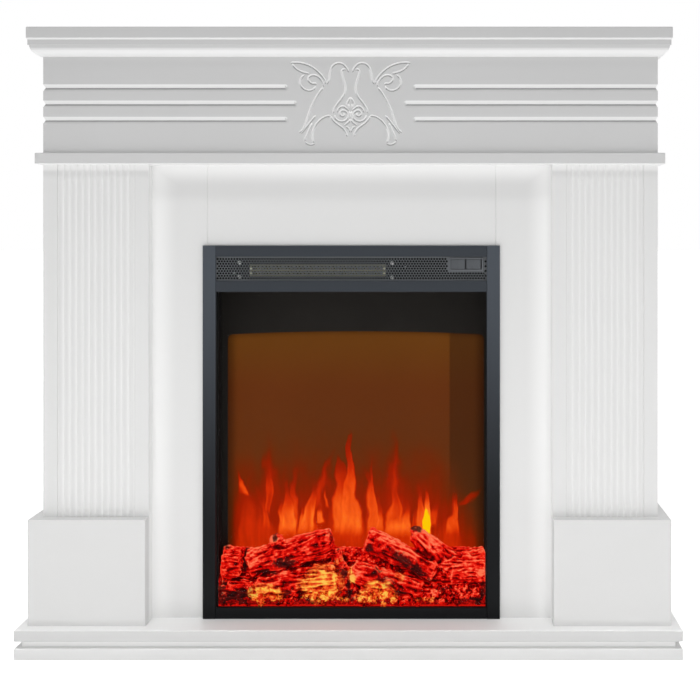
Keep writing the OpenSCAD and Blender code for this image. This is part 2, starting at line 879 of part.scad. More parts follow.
// Scroll casing with its inlet open to the back and top, an outlet flange and end plates
module heater_duct() {
    end_hole = shaft_r + 3;
    color(zinc) difference() {
        union() {
            along_x(duct_x0, duct_x1 - duct_x0) difference() {
                duct_space(duct_t);
                duct_space(0);
                translate([wheel_y + 4, wheel_z - 2]) square([scroll_r + 5, scroll_r + 5]);
            }
            for (x = [duct_x0, duct_x1 - duct_t]) along_x(x, duct_t) duct_space(duct_t);
            along_y(outlet_y, duct_t) difference() {
                translate([duct_x0 - 18, heater_floor])
                    square([duct_x1 - duct_x0 + 36, ceiling_z - heater_floor - 6]);
                translate([duct_x0 + duct_t, outlet_z])
                    square([duct_x1 - duct_x0 - 2*duct_t, outlet_h]);
            }
        }
        translate([duct_x0 - 1, wheel_y, wheel_z]) rotate([0, 90, 0])
            cylinder(r = end_hole, h = duct_x1 - duct_x0 + 2);
    }
}

// Zigzag of thin foil between two bars, as one folded strip
module foil_row(z0, h, half, n) {
    t = 0.3;
    lower = [for (i = [0 : n]) [-half + 2*half*i/n, z0 + (i % 2)*(h - t)]];
    upper = [for (i = [n : -1 : 0]) [-half + 2*half*i/n, z0 + t + (i % 2)*(h - t)]];
    polygon(concat(lower, upper));
}

// Ceramic heating bars with folded foil between them, held by end caps
module heating_element() {
    half = outlet_l/2 - 1;
    bar_h = 2.4;
    row_h = (outlet_h - 2*seat - 3*bar_h)/2;
    z0 = outlet_z + seat;
    y0 = outlet_y + 6;
    color([0.55, 0.53, 0.4]) translate([heater_mid, 0, 0]) along_y(y0, 14) union() {
        for (i = [0 : 2]) translate([-half, z0 + i*(row_h + bar_h)]) square([2*half, bar_h]);
        for (i = [0, 1])
            foil_row(z0 + bar_h - 0.1 + i*(row_h + bar_h), row_h + 0.2, half - 4, 70);
        for (side = [-1, 1]) translate([side*(half - 2) - 2, z0])
            square([4, outlet_h - 2*seat]);
    }
}

// One curved blade of the blower wheel, drawn at angle zero
module blade_outline() {
    blade_t = 0.7;
    depth = wheel_r*0.24;
    steps = 4;
    outer = [for (i = [0 : steps]) let (u = i/steps)
        [wheel_r - 0.2 - depth*u, 3.4*sin(90*u)]];
    inner = [for (i = [steps : -1 : 0]) let (u = i/steps)
        [wheel_r - 0.2 - depth*u, 3.4*sin(90*u) + blade_t]];
    polygon(concat(outer, inner));
}

// Cross-flow wheel: a ring of curved blades through four discs, on a shaft
module blower_wheel() {
    disc_t = 1;
    x0 = heater_mid - wheel_l/2;
    color([0.75, 0.76, 0.78]) {
        along_x(x0, wheel_l) for (i = [0 : blade_n - 1])
            translate([wheel_y, wheel_z]) rotate(i*360/blade_n) blade_outline();
        for (i = [0 : 3])
            translate([x0 + i*(wheel_l - disc_t)/3, wheel_y, wheel_z]) rotate([0, 90, 0])
                cylinder(r = wheel_r, h = disc_t);
        translate([duct_x0 - fan_bush_l, wheel_y, wheel_z]) rotate([0, 90, 0])
            cylinder(r = shaft_r, h = duct_x1 - duct_x0 + fan_bush_l + stator_l + 6);
    }
}

// Motor on the right-hand end of the duct, and the bush plate on the left-hand end
module blower_motor() {
    side = 40;
    shaft_x = duct_x0 - fan_bush_l;
    color(zinc) difference() {
        union() {
            box([duct_x1 + 3, wheel_y - side/2, wheel_z - side/2],
                [duct_x1 + stator_l, wheel_y + side/2, wheel_z + side/2]);
            translate([duct_x1, wheel_y, wheel_z]) rotate([0, 90, 0]) cylinder(r = 9, h = 4);
            box([duct_x1 + 6, wheel_y - side/2 + 6, heater_floor],
                [duct_x1 + stator_l - 4, wheel_y + side/2 - 6, wheel_z - side/2 + 1]);
            translate([duct_x1 + stator_l - 1, wheel_y, wheel_z]) rotate([0, 90, 0])
                cylinder(r = 8, h = 6);
            translate([shaft_x, wheel_y, wheel_z]) rotate([0, 90, 0])
                cylinder(r = 9, h = fan_bush_l);
            box([shaft_x + 2, wheel_y - 9, heater_floor], [shaft_x + 5, wheel_y + 9, wheel_z]);
        }
        translate([shaft_x - 1, wheel_y, wheel_z]) rotate([0, 90, 0])
            cylinder(r = shaft_r + run_gap, h = duct_x1 - shaft_x + stator_l + 10);
    }
}

// ---- Controls ----

// Frame in front of the grille, with a sleeve that carries the pivots of both rockers
module control_bezel() {
    color(black_steel) difference() {
        union() {
            box([bezel_x - bezel_w/2, bezel_front, bezel_z - bezel_h/2],
                [bezel_x + bezel_w/2, pane_y, bezel_z + bezel_h/2]);
            box([bezel_x - window_w/2 - bezel_wall, pane_y, bezel_z - window_h/2 - bezel_wall],
                [bezel_x + window_w/2 + bezel_wall, bezel_rear, bezel_z + window_h/2 + bezel_wall]);
        }
        box([bezel_x - window_w/2, bezel_front - 1, bezel_z - window_h/2],
            [bezel_x + window_w/2, bezel_rear - 1.5, bezel_z + window_h/2]);
        for (side = [-1, 1])
            translate([bezel_x + side*window_w/4, pivot_y, bezel_z - window_h/2 - 1])
                cylinder(r = pin_r + run_gap, h = window_h + 2);
    }
}

// Rocker with a shallow vee face and its pivot pin, tilted to its first position
module rocker(side) {
    slope = tan(rocker_throw/2);
    tip = rocker_half*slope;
    color(black_steel)
        translate([bezel_x + side*window_w/4, pivot_y, bezel_z]) rotate([0, 0, -rocker_throw/2]) {
            translate([0, 0, -rocker_h/2]) linear_extrude(rocker_h)
                polygon([
                    [-rocker_half, -rocker_face - tip], [0, -rocker_face],
                    [rocker_half, -rocker_face - tip], [rocker_half - 0.8, -2],
                    [3, 1.8], [-3, 1.8], [-rocker_half + 0.8, -2]
                ]);
            translate([0, 0, -window_h/2 - 0.7]) cylinder(r = pin_r, h = window_h + 1.4);
        }
}

base_slab(0);  // base_slab_lower
base_spacer();
base_slab(board_t + spacer_h);  // base_slab_upper
plinth_front(-1);  // plinth_front_left
plinth_front(1);  // plinth_front_right
plinth_side(-1);  // plinth_side_left
plinth_side(1);  // plinth_side_right
pilaster(-1);  // pilaster_left
pilaster(1);  // pilaster_right
side_panel(-1);  // side_panel_left
side_panel(1);  // side_panel_right
surround_side(-1);  // surround_left
surround_side(1);  // surround_right
surround_top();
lower_shelf();
frieze_front();
frieze_side(-1);  // frieze_side_left
frieze_side(1);  // frieze_side_right
crown_front();
crown_side(-1);  // crown_left
crown_side(1);  // crown_right
top_shelf();
stretcher(shelf_z);  // stretcher_lower
stretcher(cap_z);  // stretcher_upper
trim_stile(-1);  // trim_stile_left
trim_stile(1);  // trim_stile_right
trim_rail(grille_top, plate_y, surround_y);  // trim_rail_top
trim_rail(middle_z, plate_y, plate_y);  // trim_rail_middle
trim_rail(slab_z, surround_y, plate_y);  // trim_rail_bottom
insert_faceplate();
grille();
front_glass();
glass_retainers();
case_side(-1);  // case_side_left
case_side(1);  // case_side_right
case_level(slab_z);  // case_floor
case_level(ceiling_z);  // case_top
case_level(divider_z);  // case_divider
rear_cover();
cover_screws();
cord_gland();
mounting_brackets();
bracket_screws();
ember_bed();
log_set();
ember_lamp_board();
screen_mask();
flame_screen();
flame_stencil();
flame_lamp_board();
flame_rotor();
rotor_motor();
rotor_bearing();
heater_duct();
heating_element();
blower_wheel();
blower_motor();
control_bezel();
rocker(-1);  // rocker_flame
rocker(1);  // rocker_heat
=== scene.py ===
"""Electric fireplace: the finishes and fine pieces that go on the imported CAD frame.

Each operator makes one piece or group of like pieces. Sizes are in metres, in the frame's axes:
origin on the floor at the middle of the base, +X to the right, +Y to the back, +Z up.
"""
import math
import random

import bmesh
import bpy
import numpy as np
from mathutils import Matrix, Vector, geometry, noise


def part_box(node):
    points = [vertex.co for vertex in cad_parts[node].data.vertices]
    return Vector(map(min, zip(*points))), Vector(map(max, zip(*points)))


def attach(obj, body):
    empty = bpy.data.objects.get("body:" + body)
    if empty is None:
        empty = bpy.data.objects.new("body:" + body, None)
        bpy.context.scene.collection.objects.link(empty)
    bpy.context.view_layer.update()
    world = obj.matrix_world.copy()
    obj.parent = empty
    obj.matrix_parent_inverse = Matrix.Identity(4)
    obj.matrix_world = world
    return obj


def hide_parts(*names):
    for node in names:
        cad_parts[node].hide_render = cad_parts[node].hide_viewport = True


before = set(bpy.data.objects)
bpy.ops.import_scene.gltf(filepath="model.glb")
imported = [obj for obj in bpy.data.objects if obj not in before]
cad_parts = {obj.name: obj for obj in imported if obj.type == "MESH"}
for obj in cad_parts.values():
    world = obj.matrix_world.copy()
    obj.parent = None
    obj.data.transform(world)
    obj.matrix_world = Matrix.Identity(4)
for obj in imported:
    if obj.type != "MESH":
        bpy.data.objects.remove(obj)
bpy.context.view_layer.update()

bl_info = {
    "name": "Electric fireplace",
    "version": (1, 0, 0),
    "blender": (4, 5, 0),
    "location": "3D View > Sidebar > Fireplace",
    "description": "Finishes, carving, grille, flames and logs of an electric fireplace",
    "category": "Object",
}

MM = 0.001
ROOT = "fireplace"
FRIEZE_LOW, FRIEZE_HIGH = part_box("frieze_front")
GRILLE_LOW, GRILLE_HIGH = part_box("grille")
BEZEL_LOW, BEZEL_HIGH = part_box("control_bezel")
SCREEN_LOW, SCREEN_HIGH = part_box("flame_screen")
BED_LOW, BED_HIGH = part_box("ember_bed")
LOGS_LOW, LOGS_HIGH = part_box("log_set")
PLATE_LOW, PLATE_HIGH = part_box("insert_faceplate")
PILASTER_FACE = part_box("pilaster_left")[0].y

PLINTH_BOARDS = [
    "plinth_front_left", "plinth_front_right", "plinth_side_left", "plinth_side_right",
]
COLUMN_BOARDS = [
    "pilaster_left", "pilaster_right", "side_panel_left", "side_panel_right",
    "surround_left", "surround_right", "surround_top", "stretcher_lower",
]
# How far the paler corner light reaches from a pilaster, and down from the lower shelf
CORNER_REACH = 44*MM
SHELF_REACH = 34*MM
SHELF_BOARDS = [
    "lower_shelf", "crown_front", "crown_left", "crown_right", "top_shelf", "stretcher_upper",
]
FRIEZE_BOARDS = ["frieze_front", "frieze_side_left", "frieze_side_right"]
TRIM = [
    "trim_stile_left", "trim_stile_right", "trim_rail_top", "trim_rail_middle",
    "trim_rail_bottom",
]
CASE = [
    "insert_faceplate", "case_side_left", "case_side_right", "case_floor", "case_top",
    "case_divider", "rear_cover", "glass_retainers", "flame_stencil",
]


def tint(red, green, blue):
    """The linear colour of a red, green and blue from 0 to 255."""
    def linear(part):
        part /= 255
        return part/12.92 if part <= 0.04045 else ((part + 0.055)/1.055)**2.4
    return (linear(red), linear(green), linear(blue), 1.0)


# ---- Settings ----

class FireplaceSettings(bpy.types.PropertyGroup):
    """The sizes and colours of the fine pieces."""

    paint: bpy.props.FloatVectorProperty(
        name="Column paint", description="Colour of the painted columns, surround and base",
        default=(0.73, 0.73, 0.726), size=3, min=0, max=1, subtype="COLOR")
    # A darker copy of the column paint: painted shade for the light that falls off toward the top
    # of the mantel
    shelf_paint_painted_shade: bpy.props.FloatVectorProperty(
        name="Shelf paint", description="Colour of the painted frieze, crown and shelves",
        default=(0.615, 0.615, 0.615), size=3, min=0, max=1, subtype="COLOR")
    steel: bpy.props.FloatVectorProperty(
        name="Trim powder coat", description="Colour of the steel trim",
        default=(0.028, 0.032, 0.038), size=3, min=0, max=1, subtype="COLOR")
    carving_width: bpy.props.FloatProperty(
        name="Carving width", description="Width of the carved lines at the face",
        default=4.1*MM, min=1*MM, max=5*MM, unit="LENGTH")
    carving_depth: bpy.props.FloatProperty(
        name="Carving depth", description="Depth of the carved lines",
        default=2.1*MM, min=0.4*MM, max=3*MM, unit="LENGTH")
    hole_pitch: bpy.props.FloatProperty(
        name="Grille hole spacing", description="Spacing of the holes along a row",
        default=4.5*MM, min=3*MM, max=9*MM, unit="LENGTH")
    hole_size: bpy.props.FloatProperty(
        name="Grille hole size", description="Diameter of each hole",
        default=3.75*MM, min=1.5*MM, max=6*MM, unit="LENGTH")
    flame_height: bpy.props.FloatProperty(
        name="Flame height", description="Height of the tallest flame above the embers",
        default=0.24, min=0.1, max=0.35, unit="LENGTH")
    flame_glow: bpy.props.FloatProperty(
        name="Flame glow", description="Strength of the light from the flame picture",
        default=1.0, min=0, max=4)
    ember_glow: bpy.props.FloatProperty(
        name="Ember glow", description="Strength of the light from the logs and embers",
        default=1.0, min=0, max=4)
    lamp_power: bpy.props.FloatProperty(
        name="Studio lamps", description="Power that the soft studio lamps share",
        default=15.2, min=0, max=200, unit="POWER")
    room_light: bpy.props.FloatProperty(
        name="Room light", description="Strength of the even light from all round",
        default=0.50, min=0, max=2)


# ---- Shader nodes as arithmetic ----

class Value:
    """One socket of a finish. Arithmetic on it adds the Math nodes."""

    def __init__(self, finish, socket):
        self.finish = finish
        self.socket = socket

    def __add__(self, other):
        return self.finish.maths("ADD", self, other)

    def __sub__(self, other):
        return self.finish.maths("SUBTRACT", self, other)

    def __mul__(self, other):
        return self.finish.maths("MULTIPLY", self, other)

    def __truediv__(self, other):
        return self.finish.maths("DIVIDE", self, other)

    def __pow__(self, other):
        return self.finish.maths("POWER", self, other)

    def __rsub__(self, other):
        return self.finish.maths("SUBTRACT", other, self)

    def __rtruediv__(self, other):
        return self.finish.maths("DIVIDE", other, self)

    def __abs__(self):
        return self.finish.maths("ABSOLUTE", self)

    __radd__ = __add__
    __rmul__ = __mul__

    def least(self, other):
        return self.finish.maths("MINIMUM", self, other)

    def most(self, other):
        return self.finish.maths("MAXIMUM", self, other)


class Finish:
    """One material or world, and the one place that adds its nodes."""

    def __init__(self, name, owner=None):
        self.owner = owner or bpy.data.materials.new(name)
        self.owner.use_nodes = True
        self.tree = self.owner.node_tree
        self.tree.nodes.clear()

    def add(self, kind, settings=None, inputs=None, output=0):
        node = self.tree.nodes.new(kind)
        for name, value in (settings or {}).items():
            if name == "stops":
                self.set_stops(node.color_ramp, value)
            else:
                setattr(node, name, value)
        for name, value in (inputs or {}).items():
            if isinstance(value, Value):
                self.tree.links.new(value.socket, node.inputs[name])
            else:
                node.inputs[name].default_value = value
        return Value(self, node.outputs[output]) if len(node.outputs) else None

    @staticmethod
    def set_stops(ramp, stops):
        while len(ramp.elements) > 1:
            ramp.elements.remove(ramp.elements[-1])
        ramp.elements[0].position, ramp.elements[0].color = stops[0]
        for position, colour in stops[1:]:
            ramp.elements.new(position).color = colour

    def maths(self, operation, *values):
        return self.add("ShaderNodeMath", {"operation": operation}, dict(enumerate(values)))

    def vectors(self, operation, *values):
        return self.add("ShaderNodeVectorMath", {"operation": operation}, dict(enumerate(values)))

    def place(self):
        return self.add("ShaderNodeTexCoord", output="Object")

    def facing(self):
        return self.add("ShaderNodeNewGeometry", output="Normal")

    def painted(self, name, output="Fac"):
        return self.add("ShaderNodeAttribute", {"attribute_name": name}, output=output)

    def axes(self, vector):
        node = self.add("ShaderNodeSeparateXYZ", None, {0: vector}).socket.node
        return [Value(self, node.outputs[i]) for i in range(3)]

    def point(self, x, y, z):
        return self.add("ShaderNodeCombineXYZ", None, {0: x, 1: y, 2: z})

    def stretch(self, vector, x, y, z):
        return self.vectors("MULTIPLY", vector, (x, y, z))

    def noise(self, vector, scale, detail=2.0, roughness=0.5, distortion=0.0):
        return self.add("ShaderNodeTexNoise", None, {
            "Vector": vector, "Scale": scale, "Detail": detail, "Roughness": roughness,
            "Distortion": distortion})

    def cells(self, vector, scale, feature="F1", output="Distance"):
        return self.add("ShaderNodeTexVoronoi", {"feature": feature},
                        {"Vector": vector, "Scale": scale}, output)

    def span(self, value, low, high, to_low=0.0, to_high=1.0):
        """A smooth step of value from low to high."""
        return self.add("ShaderNodeMapRange", {"interpolation_type": "SMOOTHSTEP"}, {
            "Value": value, "From Min": low, "From Max": high, "To Min": to_low,
            "To Max": to_high})

    def ramp(self, value, stops):
        return self.add("ShaderNodeValToRGB", {"stops": stops}, {0: value})

    def mix(self, factor, one, other, blend="MIX"):
        return self.add("ShaderNodeMix", {"data_type": "RGBA", "blend_type": blend},
                        {0: factor, 6: one, 7: other}, 2)

    def bump(self, height, distance, strength=1.0):
        return self.add("ShaderNodeBump", None, {
            "Height": height, "Distance": distance, "Strength": strength})

    def surface(self, **sockets):
        """The shader and the output; returns the finished material."""
        inputs = {name.replace("_", " ").title().replace("Ior", "IOR"): value
                  for name, value in sockets.items()}
        shader = self.add("ShaderNodeBsdfPrincipled", None, inputs)
        self.add("ShaderNodeOutputMaterial", None, {0: shader})
        return self.owner


# ---- Finishes ----

def shade(colour, factor=1.0):
    """A paint colour, this many times as bright."""
    return (colour[0]*factor, colour[1]*factor, colour[2]*factor, 1.0)


def groove_painted_shade(f, at, up):
    """1 on the deep part of the lower face of a groove in the frieze, where the paint gets painted
    shade, and 0 elsewhere.
    """
    x, y, _ = f.axes(at)
    depth = (y - FRIEZE_LOW.y).least(FRIEZE_HIGH.x - abs(x))
    return f.span(up, 0.2, 0.42)*f.span(depth, 0.9*MM, 2.0*MM)


def corner_light(f, at, aside):
    """How much painted light the paint gets where white boards light one another: beside a
    pilaster, right under the lower shelf and between two reeds."""
    x, y, z = f.axes(at)
    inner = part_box("pilaster_right")[0].x
    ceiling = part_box("lower_shelf")[0].z
    recess = f.span(y, PILASTER_FACE + 3*MM, PILASTER_FACE + 6*MM)
    beside = f.span(abs(x), inner - CORNER_REACH, inner - 6*MM)*recess
    beneath = f.span(z, ceiling - SHELF_REACH, ceiling - 6*MM)*recess
    reed_tops = f.span(z, ceiling - 13*MM, ceiling - 7*MM)*0.8
    reed_sides = f.span(abs(aside), 0.12, 0.6)*(1.0 - recess)*0.55
    return beside.most(beneath.most(reed_tops)).most(reed_sides)


def painted_board(name, paint, under=1.0, over=1.0, corners=False, shade_grooves=False):
    """Satin paint on fibreboard, with a faint roller texture; the rear edges are left primed.
    Undersides and tops are painted this many times as pale as the rest, as painted light. Corners
    can get painted light too, and the deep part of grooves painted shade."""
    f = Finish(name)
    at = f.place()
    cloud = f.noise(at, 6.0, 3.0)
    roller = f.noise(at, 520.0, 2.0)
    aside, back, up = f.axes(f.facing())
    primed = f.span(back, 0.8, 0.95)
    colour = f.mix(f.span(cloud, 0.3, 0.7), shade(paint, 0.985), shade(paint))
    # Painted light: undersides paler, as if lit from below
    if under != 1.0:
        colour = f.mix(f.span(up, -0.1, -0.6), colour, shade(paint, under))
    # Painted light: tops paler
    if over != 1.0:
        colour = f.mix(f.span(up, 0.3, 0.8), colour, shade(paint, over))
    # Painted shade deep in the grooves of the frieze
    if shade_grooves:
        colour = f.mix(groove_painted_shade(f, at, up), colour, shade(paint, 0.55))
    # Painted light in the corners and on the sides of the reeds
    if corners:
        colour = f.mix(corner_light(f, at, aside), colour, shade(paint, 1.19))
    fibre = f.noise(at, 900.0, 3.0, 0.7)
    raw = f.mix(fibre, tint(196, 190, 180), tint(221, 217, 208))
    return f.surface(
        base_color=f.mix(primed, colour, raw),
        roughness=0.34 + cloud*0.08 + primed*0.35,
        normal=f.bump(roller + fibre*primed*2.0, 0.05*MM, 0.35))


def powder_coat(name, colour, rough=0.42, grain=0.05*MM, gloss=0.5):
    """Baked powder paint with its fine orange-peel surface."""
    f = Finish(name)
    at = f.place()
    peel = f.noise(at, 950.0, 2.0, 0.6)
    cloud = f.noise(at, 14.0, 3.0)
    return f.surface(
        base_color=f.mix(cloud, shade(colour, 0.88), shade(colour, 1.12)),
        roughness=rough + (peel - 0.5)*0.16,
        specular_ior_level=gloss, normal=f.bump(peel, grain, 0.5))


def galvanised(name, colour=(0.42, 0.43, 0.44)):
    """Zinc-coated sheet with its crystal spangle."""
    f = Finish(name)
    at = f.place()
    crystal = f.cells(at, 140.0, "F1", "Color")
    patch, _, _ = f.axes(crystal)
    fine = f.noise(at, 800.0, 3.0)
    return f.surface(
        base_color=f.mix(patch, shade(colour, 0.8), shade(colour, 1.15)),
        roughness=0.3 + patch*0.16 + fine*0.1, metallic=0.9,
        normal=f.bump(fine, 0.03*MM, 0.4))


def moulded(name, colour, rough=0.5, grain=0.06*MM, scale=700.0):
    """Moulded plastic or rubber with a fine spark-eroded texture."""
    f = Finish(name)
    at = f.place()
    fine = f.noise(at, scale, 2.0, 0.6)
    cloud = f.noise(at, 22.0, 2.0)
    return f.surface(
        base_color=f.mix(cloud, shade(colour, 0.9), shade(colour, 1.1)),
        roughness=rough + (fine - 0.5)*0.2,
        normal=f.bump(fine, grain, 0.4))


def circuit_board(name, lamp_from):
    """Green lacquered board with copper runs; its lamps are pale above the board's face."""
    f = Finish(name)
    at = f.place()
    _, _, z = f.axes(at)
    runs = f.span(abs(f.noise(f.stretch(at, 1.0, 7.0, 1.0), 60.0, 1.0) - 0.5), 0.02, 0.035)
    mask = f.mix(runs, tint(36, 120, 70), tint(20, 74, 42))
    lamp = f.span(z, lamp_from, lamp_from + 0.1*MM)
    fine = f.noise(at, 600.0, 2.0)
    return f.surface(
        base_color=f.mix(lamp, mask, tint(238, 226, 190)),
        roughness=0.32 + fine*0.12,
        emission_color=f.mix(lamp, (0, 0, 0, 1), tint(255, 120, 30)), emission_strength=0.6,
        normal=f.bump(runs, 0.04*MM, 0.6))


# ---- Shared making ----

def dress(material, *nodes):
    """Puts a finish on CAD nodes."""
    for name in nodes:
        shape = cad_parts[name].data
        shape.materials.clear()
        shape.materials.append(material)


def add_piece(name, shape, material=None):
    """Puts a mesh on the fireplace's fixed body, with its own slot and finish."""
    if material:
        shape.materials.clear()
        shape.materials.append(material)
    piece = bpy.data.objects.new(name, shape)
    bpy.context.scene.collection.objects.link(piece)
    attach(piece, ROOT)
    return piece


def mesh_of(name, build):
    """The mesh of a finished bmesh, with its faces turned outward."""
    shape = bpy.data.meshes.new(name)
    bmesh.ops.recalc_face_normals(build, faces=build.faces)
    build.to_mesh(shape)
    build.free()
    return shape


def skin(build, rings):
    """Faces between each ring of points and the next."""
    for ring, after in zip(rings, rings[1:]):
        for k in range(len(ring)):
            n = (k + 1) % len(ring)
            build.faces.new((ring[k], ring[n], after[n], after[k]))


def apply_modifiers(piece):
    """Keeps the mesh as its modifiers leave it."""
    bpy.context.view_layer.update()
    graph = bpy.context.evaluated_depsgraph_get()
    done = bpy.data.meshes.new_from_object(piece.evaluated_get(graph))
    piece.modifiers.clear()
    old = piece.data
    piece.data = done
    done.name = old.name
    bpy.data.meshes.remove(old)


def cut(piece, shape):
    """Takes the shape's space out of the piece. The cut faces get the shape's own finish."""
    cutter = bpy.data.objects.new(shape.name, shape)
    bpy.context.scene.collection.objects.link(cutter)
    step = piece.modifiers.new("cut", "BOOLEAN")
    if shape.materials:
        step.material_mode = "TRANSFER"
    step.operation = "DIFFERENCE"
    step.solver = "EXACT"
    step.use_self = True
    step.object = cutter
    apply_modifiers(piece)
    bpy.data.objects.remove(cutter)
    bpy.data.meshes.remove(shape)


def smooth_path(points, step):
    """A Catmull-Rom curve through the points, at about one point for each step of length."""
    ends = [2*points[0] - points[1], *points, 2*points[-1] - points[-2]]
    path = [points[0]]
    for before, start, end, after in zip(ends, ends[1:], ends[2:], ends[3:]):
        count = max(2, round((end - start).length/step))
        for i in range(1, count + 1):
            t = i/count
            path.append(0.5*(2*start + (end - before)*t
                             + (2*before - 5*start + 4*end - after)*t*t
                             + (3*start - before - 3*end + after)*t**3))
    return path


class FireplaceOperator:
    """What every operator of the fireplace shares."""

    bl_options = {"REGISTER", "UNDO"}

    def execute(self, context):
        self.build(context.scene.fireplace)
        return {"FINISHED"}


# ---- Stage ----

class FIREPLACE_OT_stage(FireplaceOperator, bpy.types.Operator):
    """Camera, soft studio light, white room and pale floor"""

    bl_idname = "fireplace.stage"
    bl_label = "Stage"

    eye = Vector((0.1595, -1.740, 0.667))
    lens = 52.5
    shift = (-0.1429, -0.1643)
    # Name, place, the point it faces, width and height, share of the power, spread in degrees
    soft_lamps = [
        ("front_lamp", (0.05, -2.3, 0.26), (0, 0, 0.30), (2.4, 0.5), 0.60, 180),
        ("floor_glow", (0.05, -1.20, 0.005), (0.05, -1.20, 1), (3.4, 2.0), 1.1, 180),
        ("slab_lamp", (0.05, -0.60, 1.70), (0.05, -0.12, 0.04), (2.2, 0.15), 0.085, 40),
    ]

    def build(self, settings):
        self.camera()
        self.lamps(settings)
        self.floor()
        self.room(settings)
        bpy.context.scene.view_settings.view_transform = "Standard"

    def camera(self):
        data = bpy.data.cameras.new("camera")
        data.lens = self.lens
        data.sensor_width = 36.0
        data.shift_x, data.shift_y = self.shift
        camera = bpy.data.objects.new("camera", data)
        camera.location = self.eye
        camera.rotation_euler = (math.pi/2, 0, 0)
        bpy.context.scene.collection.objects.link(camera)
        bpy.context.scene.camera = camera

    def lamps(self, settings):
        """A broad soft lamp low in front, the glow of a brightly lit floor, and a small lamp
        over the slab."""
        for name, place, toward, size, share, spread in self.soft_lamps:
            data = bpy.data.lights.new(name, "AREA")
            data.shape = "RECTANGLE"
            data.size, data.size_y = size
            data.energy = settings.lamp_power*share
            data.spread = math.radians(spread)
            lamp = bpy.data.objects.new(name, data)
            lamp.location = place
            aim = Vector(toward) - Vector(place)
            lamp.rotation_euler = aim.to_track_quat("-Z", "Y").to_euler()
            lamp.visible_camera = lamp.visible_glossy = lamp.visible_transmission = False
            bpy.context.scene.collection.objects.link(lamp)

    def floor(self):
        f = Finish("pale_floor")
        at = f.place()
        mottle = f.noise(at, 1.6, 3.0)
        seen = self.plainly_seen(f)
        material = f.surface(
            base_color=f.mix(mottle, (0.78, 0.78, 0.78, 1), (0.82, 0.82, 0.82, 1)),
            roughness=0.9 + mottle*0.05,
            specular_ior_level=0.0,
            emission_color=f.mix(seen, (0, 0, 0, 1), (1, 1, 1, 1)), emission_strength=0.78)
        shape = bpy.data.meshes.new("floor")
        half, drop = 40.0, -0.2*MM
        shape.from_pydata([(x*half, y*half, drop) for x, y in
                           ((-1, -1), (1, -1), (1, 1), (-1, 1))], [], [(0, 1, 2, 3)])
        shape.materials.append(material)
        floor = bpy.data.objects.new("floor", shape)
        bpy.context.scene.collection.objects.link(floor)

    @staticmethod
    def plainly_seen(f):
        """1 for what the camera sees, in metal and through glass too."""
        ways = [f.add("ShaderNodeLightPath", output=f"Is {kind} Ray")
                for kind in ("Camera", "Glossy", "Transmission")]
        return ways[0].most(ways[1]).most(ways[2])

    def room(self, settings):
        """A white room that gives an even, weaker light to matt surfaces."""
        world = bpy.data.worlds.new("white_room")
        bpy.context.scene.world = world
        f = Finish("white_room", world)
        light = f.span(self.plainly_seen(f), 0.0, 1.0, settings.room_light, 1.0)
        room = f.add("ShaderNodeBackground", None, {"Color": (1, 1, 1, 1), "Strength": light})
        f.add("ShaderNodeOutputWorld", None, {0: room})


# ---- Mantel ----

class FIREPLACE_OT_mantel(FireplaceOperator, bpy.types.Operator):
    """Satin paint on every board of the mantel, with painted light and painted shade in lighter and
    darker copies
    """

    bl_idname = "fireplace.mantel"
    bl_label = "Mantel paint"

    def build(self, settings):
        paint = Vector(settings.paint)
        # Columns and surround: the white paint, with painted light in the corners
        dress(painted_board("satin_white_paint_painted_corner_light", paint, corners=True), *COLUMN_BOARDS)
        # Plinths: the white paint a little darker, as painted shade
        dress(painted_board("satin_plinth_paint_painted_shade", paint*0.94), *PLINTH_BOARDS)
        # Shelves and crown: a darker copy for painted shade, with undersides painted paler as
        # painted light
        dress(painted_board("satin_shelves_painted_shade_and_light", settings.shelf_paint_painted_shade, 1.46), *SHELF_BOARDS)
        # Frieze: the same painted shade and light, and painted shade deep in its grooves
        dress(painted_board("satin_frieze_painted_shade_and_light", settings.shelf_paint_painted_shade, 1.46, shade_grooves=True),
              *FRIEZE_BOARDS)
        # Upper slab: a darker copy for painted shade, with its top painted paler as painted light
        dress(painted_board("satin_slab_painted_shade_and_light", paint*0.92, over=1.38), "base_slab_upper")
        # Lower slab: a paler copy of the white paint, as painted light
        dress(painted_board("satin_lower_slab_painted_light", paint*1.2), "base_slab_lower")
        # Spacer: a much paler copy of the white paint, as painted light
        dress(painted_board("satin_spacer_painted_light", paint*1.33), "base_spacer")


